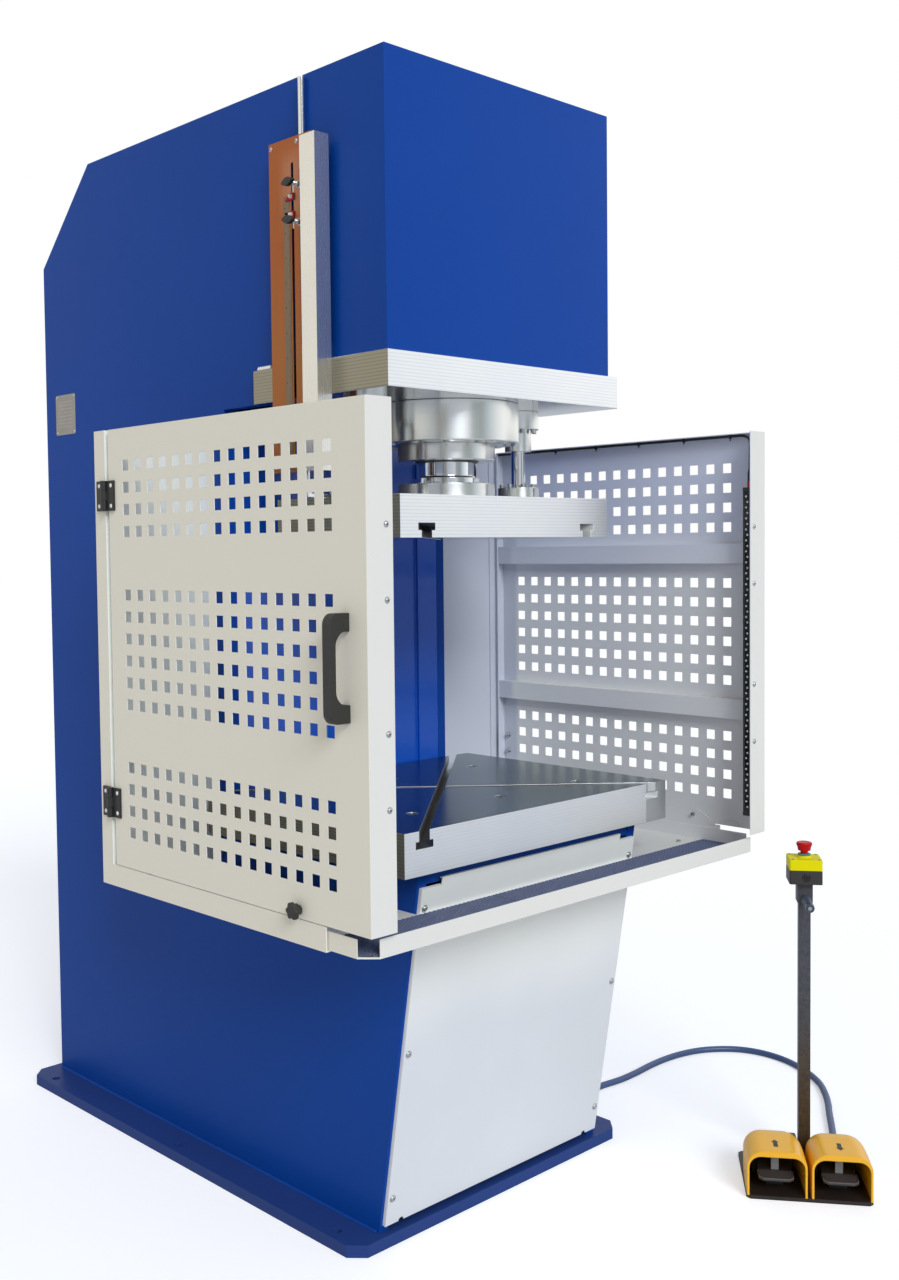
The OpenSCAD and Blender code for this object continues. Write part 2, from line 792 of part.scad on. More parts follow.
module tray_mesh() {
    x = tray_x - 2.5;
    c = tray_corner;
    y = tray_reach - 2.5;
    back = horn_foot + lean * (tray_z + 3 - base_t) + cover_d + 6.5;
    color([0.12, 0.13, 0.15]) translate([0, 0, tray_z + 3]) linear_extrude(2) polygon([
        [-x, -back], [-x, -y + c], [-x + c, -y], [x - c, -y], [x, -y + c], [x, -back]
    ]);
}

// A gauge slot from z0 to z1 with round ends, at a distance ahead of the centre
module gauge_slot(reach, z0, z1, w) {
    side_profile(-gauge_front - eps, -gauge_back + eps) {
        translate([-reach - w / 2, z0]) square([w, z1 - z0]);
        translate([-reach, z0]) circle(d = w);
        translate([-reach, z1]) circle(d = w);
    }
}

module gauge_plate() {
    low = lower_stop_z - stop_travel - 20;
    color([0.63, 0.38, 0.22]) difference() {
        block([-gauge_front, -gauge_reach - gauge_w - 4, gauge_z0], [-gauge_back, -gauge_reach, gauge_z1]);
        gauge_slot(slot_a, gauge_z0 + slot_low, upper_stop_z + 45, gauge_slot_w);
        gauge_slot(slot_b, low, upper_stop_z + 30, gauge_slot_w);
        block([-gauge_front - eps, -gauge_reach - gauge_w - 4 - eps, gauge_z1 - 17],
            [-gauge_back + eps, -gauge_reach - gauge_w + channel_w - 7, gauge_z1 + eps]);
    }
}

module gauge_channel() {
    front = gauge_reach + gauge_w + 4;
    t = sheet_t;
    z1 = gauge_z1 - 15;
    x = gauge_front + channel_d;
    color([0.9, 0.87, 0.8]) {
        block([-x, -front - t, gauge_z0 - 2], [-head_plate_w / 2, -front, z1]);
        block([-x, -front - t, gauge_z0 - 2], [-x + t, -front + channel_w - t, z1]);
        block([-x, -front + channel_w - t, gauge_z0 - 2], [-x + 5, -front + channel_w, z1]);
    }
}

module gauge_brackets() {
    y0 = -gauge_reach - gauge_w + 12;
    y1 = -gauge_reach - 4;
    h = gauge_bracket_h;
    z1 = gauge_z1 - 17;
    color([0.5, 0.5, 0.5]) {
        difference() {
            block([-gauge_back, y0, z1 - h], [-half_w, y1, z1]);
            translate([-trip_x, -trip_y, z1 - h - eps]) cylinder(r = trip_d / 2 + fit, h = h + 2 * eps);
        }
        block([-gauge_back, y0, head_z + 2], [-half_w, -trip_y - dog_l - 4, head_z + 2 + h]);
        block([-gauge_back, -slot_a + 14, head_z + 2], [-half_w, y1, head_z + 2 + h]);
        block([-gauge_back, -gauge_reach - 44, head_plate_z + 10],
            [-head_plate_w / 2, -gauge_reach - 4, head_plate_z + 10 + gauge_bracket_h]);
    }
}

// The post's leaf and pin, on the left side: the leaf reaches backwards from the pin
module post_leaf(z) {
    h = hinge_h;
    third = h / 3;
    r = knuckle_d / 2;
    translate([-hinge_x, -hinge_y, z]) {
        difference() {
            union() {
                for (z0 = [-h / 2, h / 2 - third + 0.2])
                    translate([0, 0, z0]) {
                        cylinder(r = r, h = third - 0.2);
                        block([0, 0, 0], [r, r + 2, third - 0.2]);
                    }
                block([r - hinge_t, r + 1, -h / 2], [r, hinge_leaf_w, h / 2]);
            }
            translate([0, 0, -h / 2 - eps]) cylinder(d = hinge_pin_d, h = h + 2 * eps);
            block([-r - eps, -r - eps, -third / 2], [r + eps, r + 0.8, third / 2]);
        }
        translate([0, 0, -h / 2]) cylinder(d = hinge_pin_d, h = h);
    }
}

module post_hinge_leaves() {
    color([0.1, 0.1, 0.11]) both() {
        post_leaf(hinge_z0);
        post_leaf(hinge_z1);
    }
}

// The door's leaf, on the left side: the leaf reaches forwards from the pin
module door_leaf(z) {
    third = hinge_h / 3;
    r = knuckle_d / 2;
    translate([-hinge_x, -hinge_y, z]) difference() {
        union() {
            translate([0, 0, -third / 2 + 0.2]) cylinder(r = r, h = third - 0.4);
            block([0, -r - 2, -third / 2 + 0.2], [r, 0, third / 2 - 0.2]);
            block([r - hinge_t, -hinge_leaf_w, -hinge_h / 2], [r, -r - 1, hinge_h / 2]);
        }
        translate([0, 0, -third]) cylinder(r = hinge_pin_d / 2 + fit, h = 2 * third);
    }
}

module left_hinge_leaves() {
    color([0.1, 0.1, 0.11]) {
        door_leaf(hinge_z0);
        door_leaf(hinge_z1);
    }
}

module right_hinge_leaves() {
    color([0.1, 0.1, 0.11]) mirror([1, 0, 0]) {
        door_leaf(hinge_z0);
        door_leaf(hinge_z1);
    }
}

// A door on the left: perforated panel, front flange, folded lips and two stiffening rails
module door() {
    x = guard_x;
    t = sheet_t;
    b = door_back;
    f = guard_reach;
    z0 = door_z0;
    z1 = door_z1;
    difference() {
        block([-x, -f, z0], [-x + t, -b, z1]);
        for (i = [0 : hole_cols - 1], z = door_rows)
            block([-x - eps, -hole_start - i * hole_pitch - hole_w / 2, z - hole_w / 2],
                [-x + t + eps, -hole_start - i * hole_pitch + hole_w / 2, z + hole_w / 2]);
        translate([-x - eps, -star_reach, star_z]) rod_x(star_stud_d + 1, t + 2 * eps);
    }
    block([-x, -f, z0], [-x + flange_w, -f + t, z1]);
    block([-x, -b - t, z0], [-x + lip_w, -b, z1]);
    block([-x, -f, z1 - t], [-x + lip_w, -b, z1]);
    for (z = rail_rows)
        difference() {
            block([-x, -f, z - rail_h / 2], [-x + rail_d + t, -b, z + rail_h / 2]);
            block([-x + t, -f + t, z - rail_h / 2 + t], [-x + rail_d, -b - t, z + rail_h / 2 - t]);
        }
}

module left_door() {
    color([0.82, 0.8, 0.74]) door();
}

module right_door() {
    color([0.82, 0.8, 0.74]) mirror([1, 0, 0]) door();
}

// A bow handle on the left door
module handle() {
    l = handle_l / 2;
    o = handle_out;
    t = handle_t;
    translate([-guard_x, -handle_reach + handle_w / 2, handle_z]) rotate([90, 0, 0]) linear_extrude(handle_w) {
        polygon([
            [0, -l], [-o + 12, -l], [-o, -l + 14], [-o, l - 14], [-o + 12, l], [0, l],
            [0, l - 30], [-o + t + 12, l - 30], [-o + t, l - 44], [-o + t, -l + 44], [-o + t + 12, -l + 30], [0, -l + 30]
        ]);
    }
}

module left_handle() {
    color([0.16, 0.16, 0.16]) handle();
}

module right_handle() {
    color([0.16, 0.16, 0.16]) mirror([1, 0, 0]) handle();
}

// A light curtain bar behind the left door's front flange, with its window groove
module light_curtain() {
    w = curtain_w;
    y = -curtain_y;
    translate([-curtain_x, y, curtain_z]) difference() {
        block([-w / 2, -curtain_d / 2, 0], [w / 2, curtain_d / 2, curtain_l]);
        block([w / 2 - 1.5, -curtain_d / 2 + 4, 10], [w / 2 + eps, curtain_d / 2 - 4, curtain_l - 10]);
    }
}

module left_light_curtain() {
    color([0.15, 0.15, 0.17]) light_curtain();
}

module right_light_curtain() {
    color([0.15, 0.15, 0.17]) mirror([1, 0, 0]) light_curtain();
}

// A star knob on the left door, whose screw ends at the latch tab
module star_knob() {
    r = star_d / 2;
    x = guard_x;
    translate([-x, -star_reach, star_z]) {
        rotate([0, -90, 0]) difference() {
            union() {
                translate([0, 0, free]) cylinder(d = star_d * 0.56, h = 9);
                translate([0, 0, 9]) cylinder(r = r, h = 13);
            }
            for (a = [0 : 60 : 300])
                rotate(a) translate([r * 1.18, 0, 8]) cylinder(r = r * 0.34, h = 15);
        }
        translate([-5, 0, 0]) rod_x(star_stud_d, 5 + guard_rail_t + 9);
    }
}

module left_star_knob() {
    color([0.12, 0.12, 0.12]) star_knob();
}

module right_star_knob() {
    color([0.12, 0.12, 0.12]) mirror([1, 0, 0]) star_knob();
}

module piston_rod() {
    color([0.85, 0.86, 0.87]) translate([0, -ram_reach, 0]) {
        translate([0, 0, flange_top]) cylinder(d = rod_foot_d, h = rod_foot_h);
        translate([0, 0, flange_top]) cylinder(r = rod_r, h = piston_z - flange_top);
        translate([0, 0, piston_z]) cylinder(r = bore_r - fit, h = piston_h);
    }
}

module ram_flange() {
    color([0.76, 0.77, 0.78]) translate([0, -ram_reach, ram_top]) cylinder(d = ram_flange_d, h = ram_flange_h);
}

module ram_plate() {
    y = -ram_reach;
    color([0.78, 0.8, 0.79]) difference() {
        block([-ram_w / 2, y - ram_l / 2, ram_z], [ram_w / 2, y + ram_l / 2, ram_top]);
        translate([0, 0, ram_z - eps]) linear_extrude(ram_neck_h + eps) slot_lines(slot_w);
        translate([0, 0, ram_z + ram_neck_h]) linear_extrude(slot_cap_h) slot_lines(slot_cap_w);
    }
}

module guide_rods() {
    color([0.85, 0.86, 0.87]) guide_places() translate([0, 0, ram_top]) cylinder(d = guide_d, h = guide_top - ram_top);
}

module guide_flanges() {
    color([0.76, 0.77, 0.78]) guide_places() translate([0, 0, ram_top]) difference() {
        cylinder(d = guide_flange_d, h = guide_flange_h);
        translate([0, 0, -eps]) cylinder(d = guide_d, h = guide_flange_h + 2 * eps);
    }
}

module trip_rod() {
    r = trip_d / 2;
    x = ram_w / 2;
    color([0.85, 0.86, 0.87]) {
        translate([-trip_x, -trip_y, ram_top + 8]) cylinder(r = r, h = trip_z1 - ram_top - 8);
        block([-trip_x - r - 2, -trip_y - 14, ram_top], [-x + 50, -trip_y + 14, ram_top + 8]);
        block([-trip_x - r, -trip_y - dog_l, dog_z - 6], [-trip_x + r, -trip_y, dog_z + 6]);
    }
}

// A stop behind the gauge plate: slide, pointer carrier and pointer. dir is 1 with the pointer below
// the thumb screw, and -1 with it above
module stop(z, dir) {
    x = -gauge_back + free;
    zp = z - dir * pointer_gap;
    z0 = min(z, zp) - 8;
    z1 = max(z, zp) + 8;
    difference() {
        union() {
            block([x, -slot_b - 8, z0], [x + stop_plate_t, -slot_a + 8, z1]);
            translate([-gauge_front - 5, -slot_a, zp]) rod_x(gauge_slot_w - 1, x + gauge_front + 6);
            translate([-gauge_front - 8, -slot_a, zp]) rod_x(9, 5);
        }
        translate([x - eps, -slot_b, z]) rod_x(thumb_d + 2 * fit, stop_plate_t + 2 * eps);
    }
    side_profile(-gauge_front - 3, -gauge_front - free) polygon([
        [-slot_a - 6, zp - 5], [-slot_a - 6, zp + 5], [-slot_a + 6, zp + 5], [-slot_a + 16, zp - dir * 5], [-slot_a + 6, zp - 5]
    ]);
}

module thumb_screw(z) {
    x = gauge_front;
    translate([-x, -slot_b, z]) {
        translate([-34, 0, 0]) rod_x(thumb_d, 34 + sheet_t + free + stop_plate_t);
        translate([-38, 0, 0]) rod_x(12, 12);
        side_profile(-36, -30) {
            square([16, 13], center = true);
            for (y = [-8, 8])
                translate([y, 0]) circle(d = 13);
        }
    }
}

module upper_stop() {
    color([0.8, 0.15, 0.12]) stop(upper_stop_z, 1);
}

module lower_stop() {
    color([0.8, 0.15, 0.12]) stop(lower_stop_z, -1);
}

module upper_thumb_screw() {
    color([0.1, 0.1, 0.1]) thumb_screw(upper_stop_z);
}

module lower_thumb_screw() {
    color([0.1, 0.1, 0.1]) thumb_screw(lower_stop_z);
}

// The pedal stand's own frame: X along its front edge, Y away from the operator
module stand() {
    translate([stand_x, stand_y, 0]) rotate(stand_turn) children();
}

module pedal_base() {
    w = stand_w / 2;
    e = pedal_w / 2 + 1;
    color([0.14, 0.14, 0.15]) stand() {
        linear_extrude(stand_t) difference() {
            polygon([
                [-w + 8, 0], [w - 8, 0], [w, 8], [w, stand_l - 8], [w - 8, stand_l],
                [-w + 8, stand_l], [-w, stand_l - 8], [-w, 8]
            ]);
            for (s = [-1, 1])
                translate([s * (w - 30), stand_l - 22]) circle(d = 9);
        }
        for (s = [-1, 1])
            translate([s * hood_x, 0, 0]) {
                for (x = [-e - 4, e])
                    side_profile(x, x + 4) {
                        translate([pedal_pin_y - 9, stand_t - 0.5]) square([18, pedal_pin_z - stand_t + 0.5]);
                        translate([pedal_pin_y, pedal_pin_z]) circle(r = 9);
                    }
                translate([-e - 4, pedal_pin_y, pedal_pin_z]) rod_x(pedal_pin_d, 2 * e + 8);
            }
    }
}

// A rounded arch, w wide and h high, with corners of radius r
module arch(w, h, r) {
    translate([-w / 2, 0]) square([w, h - r]);
    translate([-w / 2 + r, 0]) square([w - 2 * r, h]);
    for (s = [-1, 1])
        translate([s * (w / 2 - r), h - r]) circle(r = r);
}

// A hood's outer shape, taken in by i on the sides, front, rear and top
module hood_shape(i) {
    w = hood_w - 2 * i;
    t = stand_t;
    intersection() {
        translate([0, hood_l, t]) rotate([90, 0, 0]) linear_extrude(hood_l) arch(w, hood_top - t - i, 34 - i);
        side_profile(-w / 2, w / 2) polygon([
            [i, t], [i, hood_h - 6], [5 + i, hood_h - i], [60, hood_top - 1 - i], [100, hood_top - i],
            [128, hood_top - 7 - i], [150 - i, hood_top - 25 - i / 2], [hood_l - i, hood_top - 50], [hood_l - i, t]
        ]);
    }
}

module pedal_hoods() {
    color([0.93, 0.63, 0.1]) stand() for (s = [-1, 1])
        translate([s * hood_x, 0, 0]) difference() {
            hood_shape(0);
            translate([0, 0, -0.01]) hood_shape(hood_wall);
            translate([0, hood_wall + eps, stand_t - 0.01]) rotate([90, 0, 0]) linear_extrude(hood_wall + 2 * eps)
                arch(hood_w - 2 * hood_rim, hood_h - stand_t - hood_lintel, 24);
        }
}

module pedal_switches() {
    color([0.2, 0.2, 0.22]) stand() for (s = [-1, 1])
        translate([s * hood_x, 0, stand_t]) {
            block([-18, 58, 0], [18, 98, 18]);
            translate([0, 78, 18]) cylinder(d = 8, h = 3.5);
        }
}

module pedal() {
    z = pedal_pin_z;
    y = pedal_pin_y;
    difference() {
        union() {
            side_profile(-pedal_w / 2, pedal_w / 2) polygon([
                [14, 33], [12, 38], [16, 41], [y - 8, z + 7], [y, z + 8], [y, z - 6], [22, 34]
            ]);
            translate([-pedal_w / 2, y, z]) rod_x(18, pedal_w);
        }
        translate([-pedal_w / 2 - eps, y, z]) rod_x(pedal_pin_d + 2 * fit, pedal_w + 2 * eps);
    }
}

module left_pedal() {
    color([0.3, 0.3, 0.31]) stand() translate([-hood_x, 0, 0]) pedal();
}

module right_pedal() {
    color([0.3, 0.3, 0.31]) stand() translate([hood_x, 0, 0]) pedal();
}

// A square tube about the post's axis, from z0 to z1
module post_tube(w, wall, z0, z1) {
    difference() {
        block([post_x - w / 2, post_y - w / 2, z0], [post_x + w / 2, post_y + w / 2, z1]);
        block([post_x - w / 2 + wall, post_y - w / 2 + wall, z0 - eps],
            [post_x + w / 2 - wall, post_y + w / 2 - wall, z1 + eps]);
    }
}

module pedal_post() {
    w = stand_post_w;
    color([0.26, 0.25, 0.25]) stand() {
        post_tube(w, 3, stand_t, stop_box_z);
        post_tube(w + 8, 4, stop_box_z - 44, stop_box_z);
        translate([post_x, post_y - w / 2 - 4, stop_box_z - 36]) rotate([90, 0, 0]) difference() {
            cylinder(d = 19, h = grip_l);
            translate([0, 0, grip_l - 3]) cylinder(d = 9, h = 4);
        }
    }
}

module stop_box_base() {
    w = stop_box_w / 2;
    color([0.13, 0.13, 0.14]) stand() translate([post_x, post_y, stop_box_z]) difference() {
        block([-w, -w, 0], [w, w, stop_base_h]);
        block([-w + 3, -w + 3, 3], [w - 3, w - 3, stop_base_h + eps]);
        translate([0, -w - eps, stop_base_h / 2]) rotate([-90, 0, 0]) cylinder(r = 9, h = eps + 0.8);
    }
}

module stop_box_lid() {
    w = stop_box_w / 2;
    h = stop_lid_h;
    color([0.9, 0.88, 0.1]) stand() translate([post_x, post_y, stop_lid_z]) difference() {
        union() {
            block([-w, -w, 0], [w, w, h]);
            translate([0, 0, h]) cylinder(r = 14, h = stop_neck_h);
        }
        block([-w + 3, -w + 3, -eps], [w - 3, w - 3, h - 3]);
        cylinder(r = 8 + fit, h = h + stop_neck_h + eps);
    }
}

module stop_button() {
    h = stop_lid_h + stop_neck_h;
    r = stop_d / 2;
    color([0.8, 0.1, 0.13]) stand() translate([post_x, post_y, stop_lid_z]) rotate_extrude() polygon([
        [0, 16], [8, 16], [8, h + stop_press + 1], [r - 4, h + stop_press + 1], [r - 2, h + stop_press + 10],
        [r - 0.5, h + stop_press + 12], [r, h + stop_press + 14], [r, h + stop_press + 17],
        [r - 1.5, h + stop_press + 19], [r - 9, h + stop_press + 20], [0, h + stop_press + 20]
    ]);
}

// How far a point on the floor lies behind the pedal stand's front edge
function stand_depth(p) = (stand_x - p[0]) * sin(stand_turn) + (p[1] - stand_y) * cos(stand_turn);

module cable_glands() {
    start = CABLE[0];
    end = CABLE[len(CABLE) - 1];
    l = stand_depth(end) - hood_l;
    color([0.1, 0.1, 0.1]) {
        translate([half_w, start[1], start[2]]) {
            rod_x(cable_d + 14, 9);
            rod_x(cable_d + 7, start[0] - half_w);
        }
        translate(end) rotate(stand_turn) rotate([90, 0, 0]) {
            cylinder(d = cable_d + 5, h = l);
            translate([0, 0, l - 8]) cylinder(d = cable_d + 8, h = 8);
        }
    }
}

function unit(v) = v / norm(v);

// A point on the smooth curve through a, b, c and d, at t from b to c
function smooth(a, b, c, d, t) =
    0.5 * (2 * b + (c - a) * t + (2 * a - 5 * b + 4 * c - d) * t * t + (3 * b - a - 3 * c + d) * t * t * t);

// The route p with n points for each of its stretches
function fine_route(p, n) = let (m = len(p) - 1) [
    for (i = [0 : m - 1], k = [0 : n - 1])
        smooth(p[max(i - 1, 0)], p[i], p[i + 1], p[min(i + 2, m)], k / n),
    p[m]
];

// The directions along a route, with those of its two ends given
function directions(q, first, last) = let (m = len(q) - 1) [
    for (i = [0 : m]) i == 0 ? first : i == m ? last : unit(q[i + 1] - q[i - 1])
];

// The points of one ring around q, square to the direction v
function ring(q, v, r, sides, side) = let (a = unit(cross(v, side)), b = cross(v, a)) [
    for (k = [0 : sides - 1]) let (w = 360 * (k + 0.5) / sides) q + r * (cos(w) * a + sin(w) * b)
];

// A tube of radius r along the points q. side is a direction that the route never follows
module tube(q, first, last, r, sides, side) {
    m = len(q) - 1;
    v = directions(q, first, last);
    points = [for (i = [0 : m]) each ring(q[i], v[i], r, sides, side)];
    walls = [
        for (i = [0 : m - 1], k = [0 : sides - 1]) let (n = (k + 1) % sides)
            [i * sides + k, i * sides + n, (i + 1) * sides + n, (i + 1) * sides + k]
    ];
    ends = [[for (k = [sides - 1 : -1 : 0]) k], [for (k = [0 : sides - 1]) m * sides + k]];
    polyhedron(points, concat(walls, ends));
}

module foot_cable() {
    floor_z = cable_d / 2;
    q = [for (p = fine_route(CABLE, 2)) [p[0], p[1], max(p[2], floor_z)]];
    last = [sin(stand_turn), -cos(stand_turn), 0];
    color([0.25, 0.3, 0.38]) tube(q, [1, 0, 0], last, cable_d / 2, 10, [0, 0, 1]);
}

module curtain_cable() {
    q = fine_route(CURTAIN_CABLE, 1);
    color([0.08, 0.08, 0.09]) tube(q, [0, 0, 1], [0, 1, 0], curtain_cable_d / 2, 8, [1, 0, 0]);
}

base_plate();
frame_side_left();
frame_side_right();
head_front_plate();
frame_back_plate();
throat_plate();
bed_plate();
head_plate();
work_table();
front_cover();
cover_screws();
table_screws();
cylinder_barrel();
cylinder_gland();
gland_ring();
guide_bosses();
oil_tank();
pump_motor();
valve_block();
hydraulic_pipes();
left_guard_frame();
right_guard_frame();
guard_tray();
tray_mesh();
gauge_plate();
gauge_channel();
gauge_brackets();
post_hinge_leaves();
pedal_base();
pedal_post();
pedal_hoods();
pedal_switches();
stop_box_base();
stop_box_lid();
cable_glands();
foot_cable();
piston_rod();
ram_flange();
ram_plate();
guide_rods();
guide_flanges();
trip_rod();
left_door();
right_door();
left_hinge_leaves();
right_hinge_leaves();
left_handle();
right_handle();
left_light_curtain();
right_light_curtain();
curtain_cable();
left_star_knob();
right_star_knob();
upper_stop();
lower_stop();
upper_thumb_screw();
lower_thumb_screw();
left_pedal();
right_pedal();
stop_button();
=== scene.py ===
"""Looks of the C-frame hydraulic press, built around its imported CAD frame."""

import json
import math

import bmesh
import bpy
from mathutils import Matrix, Vector


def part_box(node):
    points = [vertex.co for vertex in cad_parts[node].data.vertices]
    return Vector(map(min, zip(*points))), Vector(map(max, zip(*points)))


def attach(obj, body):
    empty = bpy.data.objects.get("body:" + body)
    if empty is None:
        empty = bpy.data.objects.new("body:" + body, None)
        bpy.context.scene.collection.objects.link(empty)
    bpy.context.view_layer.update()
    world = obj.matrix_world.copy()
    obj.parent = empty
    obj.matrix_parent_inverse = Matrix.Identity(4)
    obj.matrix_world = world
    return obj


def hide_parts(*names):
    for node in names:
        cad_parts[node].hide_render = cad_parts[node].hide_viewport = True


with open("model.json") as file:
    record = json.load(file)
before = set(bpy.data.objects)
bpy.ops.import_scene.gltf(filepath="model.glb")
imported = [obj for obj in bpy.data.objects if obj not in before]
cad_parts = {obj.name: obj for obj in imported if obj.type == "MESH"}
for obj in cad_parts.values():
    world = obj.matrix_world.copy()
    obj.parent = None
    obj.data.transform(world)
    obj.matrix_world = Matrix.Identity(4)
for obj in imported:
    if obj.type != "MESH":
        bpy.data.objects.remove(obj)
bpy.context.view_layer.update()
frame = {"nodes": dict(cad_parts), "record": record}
MM = 0.001

# ---------------------------------------------------------------- camera

YAW, PITCH, ROLL = math.radians(43.06), math.radians(2.61), math.radians(-0.7)


def make_camera():
    """The photograph's viewpoint, from the camera fit: its turn from straight ahead, tilt and roll."""
    data = bpy.data.cameras.new("Camera")
    data.lens, data.sensor_width = 38.28, 36
    data.shift_x, data.shift_y = 0.0472, -0.0205
    data.clip_start, data.clip_end = 0.05, 200
    camera = bpy.data.objects.new("Camera", data)
    bpy.context.scene.collection.objects.link(camera)
    ahead = Vector((math.sin(YAW) * math.cos(PITCH), math.cos(YAW) * math.cos(PITCH), -math.sin(PITCH)))
    level = Vector((math.cos(YAW), -math.sin(YAW), 0))
    up = level.cross(ahead)
    right = level * math.cos(ROLL) + up * math.sin(ROLL)
    top = up * math.cos(ROLL) - level * math.sin(ROLL)
    matrix = Matrix((right, top, -ahead)).transposed().to_4x4()
    matrix.translation = Vector((-2.1128, -2.5709, 1.3737))
    camera.matrix_world = matrix
    bpy.context.scene.camera = camera


make_camera()

# ---------------------------------------------------------------- shapes


def corners(node):
    """A CAD node's lowest and highest corner, in millimetres."""
    low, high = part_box(node)
    return low / MM, high / MM


def own_body(node):
    """The body that a CAD node belongs to."""
    for body, members in frame["record"]["behaviour"]["bodies"].items():
        if node in members:
            return body
    return "frame"


def soften(points, radius, steps=3, closed=False):
    """A profile with its corners rounded."""
    made = []
    n = len(points)
    for i, p in enumerate(points):
        if not closed and i in (0, n - 1):
            made.append(tuple(p))
            continue
        a, b, c = Vector(points[i - 1]), Vector(p), Vector(points[(i + 1) % n])
        u, w = (a - b), (c - b)
        reach = min(radius, u.length * 0.45, w.length * 0.45)
        if u.length < 1e-6 or w.length < 1e-6 or u.normalized().dot(w.normalized()) < -0.97:
            made.append(tuple(p))
            continue
        u, w = u.normalized() * reach, w.normalized() * reach
        for k in range(steps + 1):
            t = k / steps
            made.append(tuple(b + u * (1 - t) ** 2 + w * t ** 2))
    return made


# Turns that lay a shape's Z along an axis, or against it. "y" turns it to the operator
AXES = {
    "x": Matrix(((0, 0, 1, 0), (1, 0, 0, 0), (0, 1, 0, 0), (0, 0, 0, 1))),
    "y": Matrix.Rotation(math.pi / 2, 4, "X"),
    "z": Matrix.Identity(4),
    "-z": Matrix.Rotation(math.pi, 4, "X"),
}
AXES["-x"] = AXES["x"] @ AXES["-z"]


def at(x=0, y=0, z=0, axis="z"):
    """A placement: laid along an axis and moved to a point."""
    return Matrix.Translation((x, y, z)) @ AXES[axis]


def facing(side):
    """The axis that points away from the press on its left (-1) or right (1) side."""
    return "x" if side > 0 else "-x"


def around(count, radius, start, x=0, y=0):
    """Points evenly round a circle, the first one start degrees from X."""
    for k in range(count):
        angle = math.radians(360 / count * k + start)
        yield x + radius * math.cos(angle), y + radius * math.sin(angle)


def arc(r, low, rise, degrees):
    """A dome's profile, at these degrees above its rim."""
    return [(r * math.cos(a), low + rise * math.sin(a)) for a in map(math.radians, degrees)]


